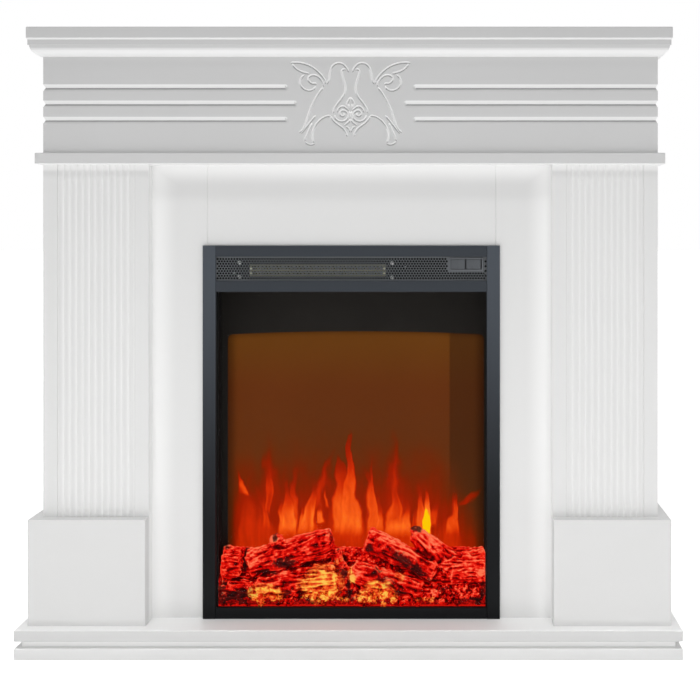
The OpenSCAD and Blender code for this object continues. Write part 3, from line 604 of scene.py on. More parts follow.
# Carved lines of the left-hand bird and half of the flower between the birds, as distances from
# the middle of the frieze and heights above its lower edge, in millimetres
WING = [
    [(96.0, 144.9), (84.5, 145.2), (72.5, 142.9), (60.7, 137.6), (50.1, 128.9), (42.2, 119.2),
     (38.5, 111.0)],
    [(93.7, 143.5), (88.6, 136.9), (82.0, 132.2), (74.0, 129.3), (65.7, 127.6)],
    [(73.4, 125.6), (78.7, 121.0), (80.9, 113.0), (77.3, 105.4), (71.1, 101.4), (64.7, 100.4),
     (58.7, 103.0), (55.4, 107.3)],
    [(53.8, 110.0), (56.3, 111.7), (62.1, 112.0), (66.1, 115.0), (68.0, 119.2), (65.6, 123.2),
     (60.1, 125.2), (53.4, 123.6), (47.9, 118.8), (44.1, 112.3), (42.1, 106.7)],
]
BODY = [
    [(38.4, 110.7), (34.8, 117.6), (33.1, 128.9), (30.2, 137.6), (24.6, 143.1), (18.2, 144.5),
     (11.8, 142.6), (6.2, 136.5), (2.3, 130.0)],
    [(7.3, 133.6), (10.5, 134.6), (14.0, 132.0), (12.9, 124.9), (10.0, 115.0), (8.2, 106.0),
     (9.3, 97.0), (13.6, 89.1), (20.2, 80.4), (25.9, 71.8), (28.4, 64.0)],
    [(43.5, 105.7), (50.1, 97.7), (57.4, 85.7), (63.7, 72.4), (68.7, 58.5), (73.4, 44.5),
     (77.4, 37.2), (82.7, 33.2)],
    [(55.4, 60.5), (62.1, 53.2), (70.0, 43.2), (79.3, 31.6)],
    [(61.2, 48.6), (66.3, 38.0), (70.6, 28.4), (74.4, 19.3)],
    [(31.0, 60.1), (39.5, 58.9), (48.8, 53.6), (56.1, 44.8), (60.1, 35.9), (61.0, 26.6),
     (58.2, 16.4)],
    [(73.4, 18.6), (68.7, 15.0), (63.2, 13.7), (57.2, 15.6)],
]
FLOWER = [
    [(32.0, 60.0), (28.9, 54.4), (24.5, 49.4), (19.5, 45.6), (12.2, 40.0), (7.2, 33.0),
     (4.9, 26.4)],
    [(0.1, 89.8), (3.4, 84.2), (6.0, 79.6), (5.6, 74.2)],
    [(2.0, 79.0), (2.6, 75.6), (2.4, 72.0)],
    [(21.7, 65.5), (20.2, 69.8), (17.4, 73.2), (14.0, 75.0), (10.2, 74.6), (6.6, 72.0),
     (2.6, 68.8)],
    [(25.4, 61.6), (24.6, 57.4), (21.5, 53.6), (17.2, 51.4), (12.6, 51.2), (8.2, 52.8),
     (5.0, 56.2), (4.0, 60.4), (5.0, 64.2), (8.2, 67.4), (12.4, 68.6), (15.8, 66.8),
     (17.0, 63.4), (15.2, 60.2), (12.0, 59.4), (10.0, 61.6), (11.2, 64.0)],
    [(2.7, 67.4), (0.7, 62.8), (0.2, 57.4)],
    [(0.0, 54.8), (3.6, 49.6), (7.2, 46.8), (10.3, 44.6)],
    [(8.2, 43.0), (4.6, 41.4), (1.9, 37.4), (0.3, 33.6)],
]


class FIREPLACE_OT_carving(FireplaceOperator, bpy.types.Operator):
    """Two facing birds and a flower, carved as vee lines in the frieze board"""

    bl_idname = "fireplace.carving"
    bl_label = "Frieze carving"

    clear = 0.4*MM
    step = 1.6*MM
    half = 112*MM

    def build(self, settings):
        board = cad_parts["frieze_front"]
        piece = add_piece("frieze_carved", board.data.copy())
        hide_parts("frieze_front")
        self.weld(piece.data)
        cut(piece, self.lines(settings))
        piece.data.shade_flat()

    def weld(self, shape):
        """Joins the faces of the board at their shared corners, and parts them from the long
        plain ends."""
        build = bmesh.new()
        build.from_mesh(shape)
        bmesh.ops.remove_doubles(build, verts=build.verts, dist=0.001*MM)
        for side in (-1, 1):
            bmesh.ops.bisect_plane(
                build, geom=[*build.verts, *build.edges, *build.faces], dist=0.001*MM,
                plane_co=(side*self.half, 0, 0), plane_no=(1, 0, 0))
        build.to_mesh(shape)
        build.free()

    def lines(self, settings):
        """All the lines of both birds and the flower, as one mesh to cut with."""
        build = bmesh.new()
        for side in (-1, 1):
            for line in WING + BODY + FLOWER:
                points = [Vector((-side*u*MM, FRIEZE_LOW.y, FRIEZE_LOW.z + h*MM))
                          for u, h in line]
                self.groove(build, smooth_path(points, self.step), settings)
        shape = mesh_of("carving_lines", build)
        shape.materials.append(self.line_painted_light(settings))
        return shape

    @staticmethod
    def line_painted_light(settings):
        """Paint in the lines, with painted light palest on the faces that look down and painted
        shade on those that look up.
        """
        f = Finish("carved_line_paint")
        fine = f.noise(f.place(), 520.0, 2.0)
        _, _, up = f.axes(f.facing())
        paint = settings.shelf_paint_painted_shade
        # Painted light on faces that look down, painted shade on faces that look up
        colour = f.mix(f.span(up, -0.12, -0.5), shade(paint, 1.34), shade(paint, 1.55))
        colour = f.mix(f.span(up, 0.15, 0.5), colour, shade(paint, 0.62))
        return f.surface(base_color=colour, roughness=0.34 + fine*0.08)

    def groove(self, build, path, settings):
        """A vee-shaped strip along the path, shallower at both ends."""
        count = len(path)
        rings = []
        for i, point in enumerate(path):
            along = (path[min(i + 1, count - 1)] - path[max(i - 1, 0)]).normalized()
            across = along.cross(Vector((0, 1, 0)))
            size = min(1.0, 0.45 + 0.3*min(i, count - 1 - i))
            depth = settings.carving_depth*size
            half = settings.carving_width/2*size*(1 + self.clear/depth)
            front = point + Vector((0, -self.clear, 0))
            rings.append([build.verts.new(front + across*half),
                          build.verts.new(front - across*half),
                          build.verts.new(point + Vector((0, depth, 0)))])
        skin(build, rings)
        build.faces.new(rings[0])
        build.faces.new(rings[-1][::-1])


# ---- Insert front ----

class FIREPLACE_OT_trim(FireplaceOperator, bpy.types.Operator):
    """Powder coat on the trim and the case sheets"""

    bl_idname = "fireplace.trim"
    bl_label = "Trim and case"

    def build(self, settings):
        stiles, rails = TRIM[:2], TRIM[2:]
        # The stiles carry a brighter painted reflection than the rails
        dress(self.trim_coat_painted_reflection("stile_powder_coat_painted_reflection", settings, 2.4, 1.4), *stiles)
        dress(self.trim_coat_painted_reflection("rail_powder_coat_painted_reflection", settings, 1.4, 1.0), *rails)
        dress(powder_coat("case_powder_coat", (0.010, 0.010, 0.010), 0.7, gloss=0.12), *CASE)
        dress(galvanised("zinc_sheet"), "mounting_brackets", "flame_rotor", "rotor_motor")
        dress(powder_coat("duct_black", (0.003, 0.003, 0.003), 0.8, gloss=0.03), "heater_duct",
              "blower_motor")
        dress(moulded("gland_rubber", (0.02, 0.02, 0.02), 0.6), "cord_gland")

    def trim_coat_painted_reflection(self, name, settings, top, curve):
        """Powder coat with a painted reflection of the room, so that it darkens toward the floor.
        At its top it is this many times the colour; a higher curve keeps it dark for longer."""
        f = Finish(name)
        at = f.place()
        _, _, z = f.axes(at)
        peel = f.noise(at, 950.0, 2.0, 0.6)
        cloud = f.noise(f.stretch(at, 1.0, 1.0, 0.15), 40.0, 3.0)
        low, high = PLATE_LOW.z + 0.05, PLATE_HIGH.z
        # Painted reflection of the room: paler toward the top
        level = f.span(z + (cloud - 0.5)*0.05, low, high)**curve
        return f.surface(
            base_color=f.mix(level, shade(settings.steel, 0.12), shade(settings.steel, top)),
            roughness=0.42 + (peel - 0.5)*0.16, specular_ior_level=0.12,
            normal=f.bump(peel, 0.05*MM, 0.5))


class FIREPLACE_OT_grille(FireplaceOperator, bpy.types.Operator):
    """Perforated sheet with staggered round holes, open behind the switches"""

    bl_idname = "fireplace.grille"
    bl_label = "Grille"

    sides = 10
    # Least steel between a hole and the switch window
    web = 0.8*MM
    # How far the holes stay from the ends of the faceplate
    blank_end = 19.5*MM
    # The window ends this far inside the outline of the switch frame, which hides its edge
    window_edge = 0.4*MM
    # A face of the sheet is part of a hole when its middle is this near, in hole radii
    within = 0.93

    def build(self, settings):
        material = powder_coat("grille_powder_coat", (0.115, 0.123, 0.130), 0.5, gloss=0.3)
        outline = self.rectangle(GRILLE_LOW.x, GRILLE_HIGH.x, GRILLE_LOW.z, GRILLE_HIGH.z)
        edge = self.window_edge
        low_x, high_x = BEZEL_LOW.x + edge, BEZEL_HIGH.x - edge
        low_z, high_z = BEZEL_LOW.z + edge, BEZEL_HIGH.z - edge
        window = self.rectangle(low_x, high_x, low_z, high_z)
        holes = [window] + self.holes(settings, (low_x, high_x, low_z, high_z))
        points = []
        edges = []
        for loop in [outline] + holes:
            first, count = len(points), len(loop)
            edges += [(first + i, first + (i + 1) % count) for i in range(count)]
            points += loop
        verts, _, faces, *_ = geometry.delaunay_2d_cdt(points, edges, [], 0, 1e-7)
        radius = settings.hole_size/2
        centres = [sum(hole, Vector((0, 0)))/len(hole) for hole in holes[1:]]
        lattice = {(round(c.x/MM), round(c.y/MM)): c for c in centres}
        nearby = (-2, -1, 0, 1, 2)
        kept = []
        for face in faces:
            middle = sum((verts[i] for i in face), Vector((0, 0)))/len(face)
            in_window = low_x < middle.x < high_x and low_z < middle.y < high_z
            key_x, key_z = round(middle.x/MM), round(middle.y/MM)
            near = [lattice[(key_x + i, key_z + j)] for i in nearby for j in nearby
                    if (key_x + i, key_z + j) in lattice]
            in_hole = any((middle - c).length < radius*self.within for c in near)
            if not in_window and not in_hole:
                kept.append(face)
        shape = bpy.data.meshes.new("grille_sheet")
        shape.from_pydata([(v.x, GRILLE_LOW.y, v.y) for v in verts], [], kept)
        shape.validate()
        piece = add_piece("grille_sheet", shape, material)
        thick = piece.modifiers.new("thickness", "SOLIDIFY")
        thick.thickness = GRILLE_HIGH.y - GRILLE_LOW.y
        thick.offset = -1.0
        bpy.context.view_layer.update()
        apply_modifiers(piece)
        self.settle(piece)
        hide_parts("grille")

    @staticmethod
    def settle(piece):
        """Keeps the sheet between the CAD sheet's front and back."""
        shape = piece.data
        front = min(v.co.y for v in shape.vertices)
        for v in shape.vertices:
            v.co.y += GRILLE_LOW.y - front

    def holes(self, settings, window):
        """Round holes in staggered rows, clear of the edges and the switch window."""
        pitch, radius = settings.hole_pitch, settings.hole_size/2
        row_pitch = pitch*math.sin(math.radians(60))
        opening_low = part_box("trim_rail_middle")[1].z
        opening_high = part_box("trim_rail_top")[0].z
        middle = (opening_low + opening_high)/2
        rows = int((opening_high - opening_low - 2*radius - 1.0*MM)/row_pitch)
        count = int((PLATE_HIGH.x - self.blank_end)/pitch)
        room = radius + self.web
        low_x, high_x, low_z, high_z = window
        found = []
        for row in range(rows + 1):
            z = middle + (row - rows/2)*row_pitch
            for col in range(-count, count + 1):
                x = (col + (row % 2)/2 - 0.25)*pitch
                if low_x - room < x < high_x + room and low_z - room < z < high_z + room:
                    continue
                found.append([
                    Vector((x + radius*math.cos(2*math.pi*k/self.sides),
                            z + radius*math.sin(2*math.pi*k/self.sides)))
                    for k in range(self.sides)])
        return found

    @staticmethod
    def rectangle(low_x, high_x, low_z, high_z):
        """The four corners of an upright rectangle, across and up."""
        return [Vector(p) for p in ((low_x, low_z), (high_x, low_z), (high_x, high_z),
                                    (low_x, high_z))]


class FIREPLACE_OT_glass(FireplaceOperator, bpy.types.Operator):
    """Clear toughened glass in front of the logs"""

    bl_idname = "fireplace.glass"
    bl_label = "Front glass"

    def build(self, settings):
        f = Finish("front_glass_clear")
        at = f.place()
        haze = f.noise(at, 30.0, 3.0)
        material = f.surface(
            base_color=f.mix(haze, (0.001, 0.001, 0.001, 1), (0.002, 0.002, 0.002, 1)),
            roughness=0.02 + haze*0.03, alpha=0.014 + haze*0.01, ior=1.45,
            specular_ior_level=0.2)
        dress(material, "front_glass")


# ---- Flame picture ----

# Each flame in millimetres and heat: foot across and up, tip across and up, half width, bend
# to the right, how pointed it is, how soft its edge is, how hollow it is, and its heat
FLAMES = [
    (-186, 226, -202, 270, 5, 0, 0.8, 0.5, 0.0, 0.66),
    (-176, 140, -190, 240, 18, 0, 0.5, 0.9, 0.0, 0.44),
    (-148, 198, -148, 284, 6.5, 0, 0.7, 0.35, 0.3, 0.68),
    (-146, 200, -150, 335, 10, 0, 0.8, 1.0, 0.0, 0.38),
    (-193, 136, -193, 196, 8, 0, 1.0, 0.4, 0.2, 0.64),
    (-172, 128, -170, 210, 24, 0, 0.6, 0.3, 0.3, 0.61),
    (-148, 150, -168, 242, 9, 4, 0.6, 0.5, 0.2, 0.62),
    (-114, 140, -116, 252, 17, 0, 0.75, 0.25, 0.15, 0.88),
    (-125, 164, -127, 220, 4, 0, 0.6, 0.4, 0.0, 0.74),
    (-119, 144, -121, 188, 3.5, 0, 0.6, 0.4, 0.0, 0.82),
    (-105, 150, -105, 274, 4.5, 0, 0.25, 0.5, 0.0, 0.58),
    (-78, 134, -78, 204, 25, 0, 0.5, 0.3, 0.0, 0.62),
    (-86, 158, -63, 252, 15, -3, 0.7, 0.25, 0.15, 0.86),
    (-72, 200, -34, 310, 11, 0, 0.7, 0.9, 0.0, 0.46),
    (-60, 180, -61, 208, 4.5, 0, 0.6, 0.3, 0.0, 0.74),
    (-93, 166, -90, 206, 3.5, -3, 0.5, 0.4, 0.0, 0.74),
    (-49, 206, -49, 246, 3, 0, 0.6, 0.5, 0.0, 0.58),
    (-10, 144, -11, 340, 26, 0, 1.25, 0.25, 0.15, 0.82),
    (-20, 150, -27, 298, 24, 0, 0.85, 0.25, 0.1, 0.76),
    (-4, 144, -6, 236, 19, 0, 0.6, 0.4, 0.0, 0.80), (24, 194, 13, 276, 5.5, 3, 0.6, 0.4, 0.3, 0.70),
    (36, 150, 21, 290, 16, -2, 1.3, 0.3, 0.1, 0.76), (34, 148, 37, 222, 18, 0, 0.6, 0.3, 0.1, 0.78),
    (66, 150, 65, 268, 19, 0, 1.1, 0.25, 0.3, 0.80),
    (72, 138, 72, 210, 27, 0, 0.3, 0.15, 0.0, 0.84), (88, 150, 87, 220, 10, 0, 0.6, 0.3, 0.0, 0.76),
    (64, 200, 64, 340, 13, 0, 0.7, 1.0, 0.0, 0.42),
    (118, 150, 106, 248, 9, -2, 0.8, 0.3, 0.1, 0.80),
    (121, 146, 119, 234, 9.5, 0, 0.75, 0.3, 0.0, 1.2),
    (102, 170, 103, 204, 4.5, 0, 0.6, 0.3, 0.4, 0.68),
    (128, 174, 138, 216, 9, 0, 0.25, 0.3, 0.0, 0.58),
    (164, 134, 167, 234, 21, 0, 1.5, 0.3, 0.1, 0.74),
    (168, 188, 171, 230, 4.5, 0, 0.5, 0.3, 0.2, 0.72),
    (160, 126, 160, 186, 26, 0, 0.5, 0.6, 0.0, 0.48),
    (182, 210, 216, 240, 10, 0, 0.5, 0.8, 0.0, 0.36),
]


class FIREPLACE_OT_flames(FireplaceOperator, bpy.types.Operator):
    """Lit picture of flames on the brown screen, and the black mask round it"""

    bl_idname = "fireplace.flames"
    bl_label = "Flame picture"

    foot = 100*MM
    tallest = 340*MM
    # The mask hides this much of the screen's top
    masked = 79*MM
    # The flames are duller at their foot, up to the second height
    dull_foot = (144*MM, 178*MM)
    # Behind the right end the screen is darker, past this line
    dark_line = 157.5*MM

    # Colours of the picture from unlit to the hottest flame
    fire = [
        (0.0, tint(96, 42, 2)), (0.20, tint(122, 32, 0)), (0.36, tint(158, 28, 0)),
        (0.52, tint(204, 42, 2)), (0.66, tint(230, 68, 8)), (0.80, tint(250, 96, 24)),
        (0.94, tint(254, 130, 30)), (1.0, tint(255, 202, 2)),
    ]

    def build(self, settings):
        dress(powder_coat("mask_black", (0.021, 0.019, 0.017), 0.8, gloss=0.05), "screen_mask")
        f = Finish("flame_picture")
        x, _, z = f.axes(f.place())
        flat = f.point(x, 0.0, z)
        heat = self.heat(f, x, z, flat, settings.flame_height)
        lit = f.mix(f.span(heat, 0.02, 0.28), self.unlit(f, x, z), f.ramp(heat, self.fire))
        shadow = self.mask_shadow(f, x, z)
        grain = f.noise(flat, 700.0, 2.0)
        dress(f.surface(
            base_color=f.mix(0.98, lit, (0, 0, 0, 1)), roughness=0.6 + grain*0.1,
            specular_ior_level=0.03,
            emission_color=f.mix(1.0, lit, f.point(shadow, shadow, shadow), "MULTIPLY"),
            emission_strength=settings.flame_glow), "flame_screen")

    def heat(self, f, x, z, flat, height):
        """Heat of the flames and of the red haze round them. The flames' own places are bent by
        slow and quick noise, more so higher up, and their edges follow upright folds."""
        rise = z - self.foot
        sway = f.noise(f.stretch(flat, 1.0, 1.0, 0.6), 26.0, 1.0) - 0.5
        lick = f.noise(f.stretch(flat, 1.0, 1.0, 0.5), 75.0, 1.0) - 0.5
        grow = (rise*6.0).most(0.0).least(1.0) + 0.3
        bent_x = x + (sway*(20*MM) + lick*(10*MM))*grow
        fold = f.noise(f.stretch(f.point(bent_x, 0.0, z - abs(bent_x)*0.3), 1.0, 1.0, 0.34),
                       70.0, 3.0, 0.6, 0.5)
        scale = (self.tallest - self.foot)/height
        bent_z = self.foot + rise*scale + (f.noise(flat, 40.0, 2.0) - 0.5)*(14*MM)
        streak = f.noise(f.stretch(f.point(bent_x, 0.0, z), 1.0, 1.0, 0.10), 120.0, 3.0, 0.6)
        heat = self.tongues(f, bent_x, bent_z, fold)*(0.55 + streak*0.16 + fold*0.57)
        warm = self.haze(f, x, rise, sway, streak)
        heat = heat*f.span(z, *self.dull_foot, 0.42, 1.0)
        return heat.most(warm) + heat.least(warm)*0.25

    def mask_shadow(self, f, x, z):
        """The light left beside and under the mask, whose lower edge is an arch."""
        side = f.span(abs(x), SCREEN_HIGH.x - 10*MM, SCREEN_HIGH.x - 30*MM, 0.45, 1.0)
        high = SCREEN_HIGH.z - self.masked
        return side*f.span(z + x*x*0.11, high, high - 10*MM, 0.65, 1.0)

    @staticmethod
    def tongues(f, x, z, fold):
        """The hottest flame at each point, with edges that follow the folds."""
        total = None
        ragged = (fold - 0.5)*0.7
        for fx, fz, tx, tz, half, bend, point, soft, hollow, heat in FLAMES:
            up = (z - fz*MM)/((tz - fz)*MM)
            left = (1.0 - up).most(0.0).least(1.0)
            off = abs(x - fx*MM - up*((tx - fx)*MM) - up*left*(bend*4*MM))
            edge = off/((left**point)*(half*MM) + 0.5*MM) + ragged
            body = f.span(edge, 1.0 + soft*1.25, 1.0 - soft*1.1)
            if hollow:
                body = body*(1.0 - hollow + (edge*edge).least(1.0)*hollow)
            body = body*f.span(up, 1.05, 0.35, 0.3, 1.0)*f.span(up, 1.06, 0.94)
            body = body*f.span(up, -0.16, 0.06)*heat
            total = body if total is None else total.most(body)
        return total

    @staticmethod
    def haze(f, x, rise, sway, streak):
        """Dull red light between and above the flames, weaker at both sides."""
        low = f.span(rise + sway*(80*MM), 300*MM, -20*MM)
        wide = f.span(x, -230*MM, -192*MM)*f.span(x + rise*0.3, 270*MM, 165*MM)
        return low*wide*(0.30 + streak*0.40)

    def unlit(self, f, x, z):
        """Brown tinted screen, darker to the right of one upright line."""
        cloud = f.noise(f.point(x, 0.0, z), 5.0, 2.0)
        brown = f.mix(cloud, tint(90, 43, 14), tint(104, 51, 18))
        high = SCREEN_HIGH.z - self.masked
        brown = f.mix(f.span(z, high - 110*MM, high), brown,
                      f.mix(cloud, tint(93, 53, 14), tint(107, 62, 19)))
        dark = f.span(x, self.dark_line, self.dark_line + 2.5*MM)
        return f.mix(dark*0.6, brown, tint(54, 30, 12))


# ---- Log bed ----

# Each log: its two ends in millimetres from the middle, from the bed's front and above the floor,
# and its radius at each end
LOGS = [
    ((-172, 38, 118), (-38, 40, 155), 24, 23), ((-158, 22, 84), (-30, 24, 102), 18, 22),
    ((24, 40, 160), (134, 24, 112), 20, 17), ((100, 42, 168), (168, 32, 116), 14, 21),
    ((160, 31, 115), (216, 34, 117), 24, 26), ((0, 22, 112), (112, 18, 80), 18, 15),
    ((-216, 32, 123), (-188, 33, 122), 26, 25), ((-206, 20, 82), (-152, 20, 80), 15, 17),
    ((-31, 34, 142), (2, 24, 68), 9, 12),
]
KNOTS = [
    ((-128, 36, 156), 14), ((-170, 30, 128), 11), ((34, 38, 168), 11), ((100, 40, 174), 8),
    ((134, 32, 130), 11), ((186, 26, 132), 12), ((-60, 24, 108), 14), ((8, 20, 112), 14),
]
# Patches of the bed: middle across and up, half length, half width, slope in degrees, strength
CHAR = [
    (-114, 127, 17, 9, 4, 1.3), (-131, 165, 4, 5, 0, 1.2), (-181, 130, 20, 4, 90, 1.0),
    (-200, 151, 20, 3, 0, 0.8), (-33, 160, 20, 5, -65, 1.1), (-14, 105, 44, 8, -68, 0.85),
    (-140, 111, 18, 5, -15, 0.9), (-188, 76, 28, 12, 10, 1.25), (-108, 82, 7, 6, 0, 1.1),
    (-70, 69, 16, 5, 0, 1.1), (27, 150, 8, 8, 0, 1.2), (94, 124, 42, 10, -38, 0.9),
    (106, 121, 15, 5, -35, 1.0), (62, 95, 42, 9, -34, 0.8), (196, 68, 22, 7, 0, 1.1),
    (213, 84, 7, 14, 0, 1.0), (102, 180, 13, 6, -15, 1.2), (18, 172, 4, 10, 20, 0.8),
    (-8, 147, 9, 4, 0, 1.1), (150, 85, 10, 5, 0, 0.8), (-212, 80, 12, 14, 0, 1.1),
]
# Painted light: pale patches on the crests and upper sides of the logs
PAINTED_LIGHT_PATCHES = [
    (-206, 118, 18, 28, 0, 0.3), (-150, 152, 28, 9, 35, 0.7), (-112, 152, 20, 8, 10, 0.4),
    (-166, 134, 10, 13, 0, 0.9), (-70, 166, 34, 7, 22, 0.5), (58, 167, 36, 8, -30, 1.3),
    (118, 160, 32, 15, -42, 1.4), (192, 122, 24, 20, 0, 1.2), (6, 112, 16, 19, 0, 1.1),
    (186, 88, 28, 14, 0, 0.8),
    (150, 120, 20, 16, -40, 0.7), (128, 78, 22, 7, 0, 0.7), (76, 104, 20, 7, -30, 0.8),
]
BLAZE = [
    (-143, 77, 26, 15, 0, 1.2), (-52, 92, 30, 26, 10, 1.1), (46, 82, 22, 16, -20, 1.5),
    (76, 105, 10, 6, -20, 0.5), (-1, 106, 8, 12, 0, 0.6), (-15, 70, 12, 7, 0, 0.7),
    (-26, 128, 5, 14, -60, 0.4), (118, 72, 18, 6, 0, 0.6), (20, 76, 14, 10, 0, 0.7),
]
# Glowing cracks: corners across and up, and their half width
CRACKS = [
    ([(-67, 111), (-70, 98), (-66, 88), (-62, 78), (-52, 70)], 1.8),
    ([(-58, 103), (-50, 95), (-44, 92), (-31, 82)], 1.2), ([(-40, 98), (-46, 88)], 0.9),
    ([(-84, 75), (-70, 77), (-62, 79), (-44, 81), (-27, 84)], 1.6), ([(-48, 76), (-40, 70)], 1.6),
    ([(-160, 86), (-150, 89), (-138, 90), (-128, 86), (-122, 78)], 1.8),
    ([(-122, 78), (-128, 70), (-138, 66)], 1.1), ([(-162, 78), (-154, 70)], 1.0),
    ([(36, 92), (42, 86), (48, 80), (54, 74)], 2.6), ([(34, 82), (40, 74)], 1.8),
    ([(50, 88), (56, 82)], 1.8), ([(-6, 110), (-4, 104)], 1.6), ([(-18, 74), (-12, 68)], 1.6),
]


# Colours of the resin from dark to bright, away from the blaze and in it
RED = [
    (0.04, tint(40, 0, 0)), (0.18, tint(92, 0, 0)), (0.32, tint(136, 0, 0)),
    (0.46, tint(184, 2, 0)), (0.58, tint(216, 8, 2)), (0.70, tint(240, 28, 14)),
    (0.84, tint(252, 66, 42)), (1.0, tint(255, 120, 80)),
]
ORANGE = [
    (0.02, tint(110, 2, 0)), (0.15, tint(186, 14, 0)), (0.28, tint(234, 48, 14)),
    (0.44, tint(250, 86, 36)), (0.62, tint(254, 128, 48)), (0.84, tint(255, 204, 84)),
]


class FIREPLACE_OT_log_bed(FireplaceOperator, bpy.types.Operator):
    """Moulded resin logs on a bed of glowing coals"""

    bl_idname = "fireplace.log_bed"
    bl_label = "Logs and embers"

    voxel = 1.7*MM
    sides = 28
    log_step = 7*MM
    # Millimetres from a log's last round to its tip, and height of the bark above the skin
    log_tip = 3
    bark_height = 1.7
    # Outline of the mound, back from the bed's front and up from the floor, in millimetres
    mound = ((4, 66), (4, 73), (16, 88), (38, 130), (46, 141), (60, 141), (60, 66))
    mound_half = 216*MM
    coals = 230
    front_coals = 80
    # Coals lie this many millimetres to either side of the middle
    coal_reach = 213
    # Height of the tray's bright rim; below the second height the tray is dull
    rim = 63.6*MM
    dull_from = 62.6*MM
    # Weight of the height above the skin when that is smoothed this many times
    scales = {2: 0.55, 10: 0.36, 40: 0.22}

    def build(self, settings):
        rng = random.Random(7)
        build = bmesh.new()
        for start, end, r1, r2 in LOGS:
            self.add_log(build, self.point(start), self.point(end), r1*MM, r2*MM)
        for middle, radius in KNOTS:
            self.add_lump(build, self.point(middle), radius*MM, (1.0, 0.9, 1.0), rng)
        self.add_coals(build, rng)
        self.add_mound(build)
        piece = add_piece("resin_logs", mesh_of("resin_logs", build),
                          self.finish(settings))
        self.fuse(piece)
        self.sculpt(piece)
        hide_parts("log_set")
        self.dress_bed(settings)

    @staticmethod
    def point(place):
        return Vector((place[0]*MM, BED_LOW.y + place[1]*MM, place[2]*MM))

    def add_log(self, build, start, end, r1, r2):
        """A tapered, slightly crooked round log with domed ends."""
        axis = end - start
        turn = axis.to_track_quat("Z", "X").to_matrix()
        steps = max(6, int(axis.length/self.log_step))
        rings = []
        for i in range(steps + 1):
            t = i/steps
            radius = (r1 + (r2 - r1)*t)*(1 + 0.07*noise.noise(start*31 + Vector((t*4, 0, 0))))
            crook = 4*MM*noise.noise(start*17 + Vector((0, t*2.2, 0)))
            rings.append(self.ring(build, start + axis*t + turn @ Vector((0, crook, 0)), turn,
                                   radius))
        skin(build, rings)
        for ring, at, way in ((rings[0], start, -1), (rings[-1], end, 1)):
            tip = build.verts.new(at + axis.normalized()*way*self.log_tip*MM)
            for k in range(self.sides):
                build.faces.new((ring[k], ring[(k + 1) % self.sides], tip))

    def ring(self, build, middle, turn, radius):
        """One uneven round of points across a log."""
        found = []
        for k in range(self.sides):
            a = 2*math.pi*k/self.sides
            bulge = 1 + 0.08*noise.noise(middle*40 + Vector((math.cos(a), math.sin(a), 0))*1.3)
            found.append(build.verts.new(
                middle + turn @ Vector((math.cos(a), math.sin(a), 0))*radius*bulge))
        return found

    @staticmethod
    def add_lump(build, middle, radius, squash, rng):
        """A rough ball, stretched this much along each axis and turned at random."""
        made = bmesh.ops.create_icosphere(build, subdivisions=2, radius=radius)
        turn = Matrix.Rotation(rng.uniform(0, math.pi), 3, "Z")
        for v in made["verts"]:
            rough = 1 + 0.22*noise.noise(v.co*90 + middle*40)
            shape = Vector((v.co.x*squash[0], v.co.y*squash[1], v.co.z*squash[2]))*rough
            v.co = middle + turn @ shape

    def add_coals(self, build, rng):
        """Lumps of coal along the front and in the gaps between the logs."""
        for k in range(self.coals):
            x = rng.uniform(-self.coal_reach, self.coal_reach)*MM
            if k < self.front_coals:
                y, z = BED_LOW.y + rng.uniform(0, 5)*MM, rng.uniform(64, 71)*MM
                radius = rng.uniform(3.5, 6.5)*MM
            else:
                y = BED_LOW.y + (5 + rng.random()*26)*MM
                z = self.bed_height(y) + rng.uniform(-2, 8)*MM
                radius = rng.uniform(3.5, 9.5)*MM
            self.add_lump(build, Vector((x, y, z)), radius,
                          (rng.uniform(0.9, 1.5), 0.9, rng.uniform(0.6, 0.95)), rng)

    @staticmethod
    def bed_height(y):
        """Height of the sloping tray under a point."""
        t = (y - BED_LOW.y)/(BED_HIGH.y - BED_LOW.y)
        return 69*MM + t*36*MM

    def add_mound(self, build):
        """The solid mound that all the logs and coals sink into."""
        ends = [[build.verts.new((x, BED_LOW.y + y*MM, z*MM)) for y, z in self.mound]
                for x in (-self.mound_half, self.mound_half)]
        skin(build, ends)
        build.faces.new(ends[0][::-1])
        build.faces.new(ends[1])

    def fuse(self, piece):
        """Joins all the lumps into one closed skin."""
        step = piece.modifiers.new("fuse", "REMESH")
        step.mode = "VOXEL"
        step.voxel_size = self.voxel
        soften = piece.modifiers.new("soften", "SMOOTH")
        soften.factor = 0.5
        soften.iterations = 9
        apply_modifiers(piece)
        piece.data.shade_smooth()

    def sculpt(self, piece):
        """Works the bark and the coals into the skin, and marks where they glow."""
        shape = piece.data
        place, out = self.read(shape, "co"), self.read(shape, "normal")
        count = len(place)
        grain, wood = self.grain(place)
        crest = np.empty(count)
        for i in range(count):
            p = Vector(grain[i])
            bark = noise.noise(Vector((p.x*34, p.y*170, p.z*170)))
            fine = noise.noise(Vector((p.x*90, p.y*420, p.z*420)))
            q = Vector(place[i])
            crumb = noise.noise(q*170) + 0.6*noise.noise(q*370)
            lump = noise.noise(q*62)
            dent = noise.noise(q*120 + Vector((7, 3, 1)))
            crest[i] = (wood[i]*(1.0*(0.7 - abs(bark)*3.4) + 0.3*fine + 1.0*lump + 1.1*dent
                                 + 0.5*crumb)
                        + (1 - wood[i])*(crumb*1.3 + lump*1.2))
        moved = place + out*(crest*self.bark_height*MM)[:, None]
        low = np.array([LOGS_LOW.x, BED_LOW.y - 6*MM, 60*MM])
        high = np.array([LOGS_HIGH.x, LOGS_HIGH.y, LOGS_HIGH.z + 8*MM])
        moved = np.clip(moved, low, high)
        shape.vertices.foreach_set("co", moved.ravel())
        shape.update()
        self.mark(shape, "grain", grain, "FLOAT_VECTOR", "vector")
        self.mark(shape, "wood", wood, "FLOAT", "value")
        self.mark(shape, "crest", self.relief(shape), "FLOAT", "value")
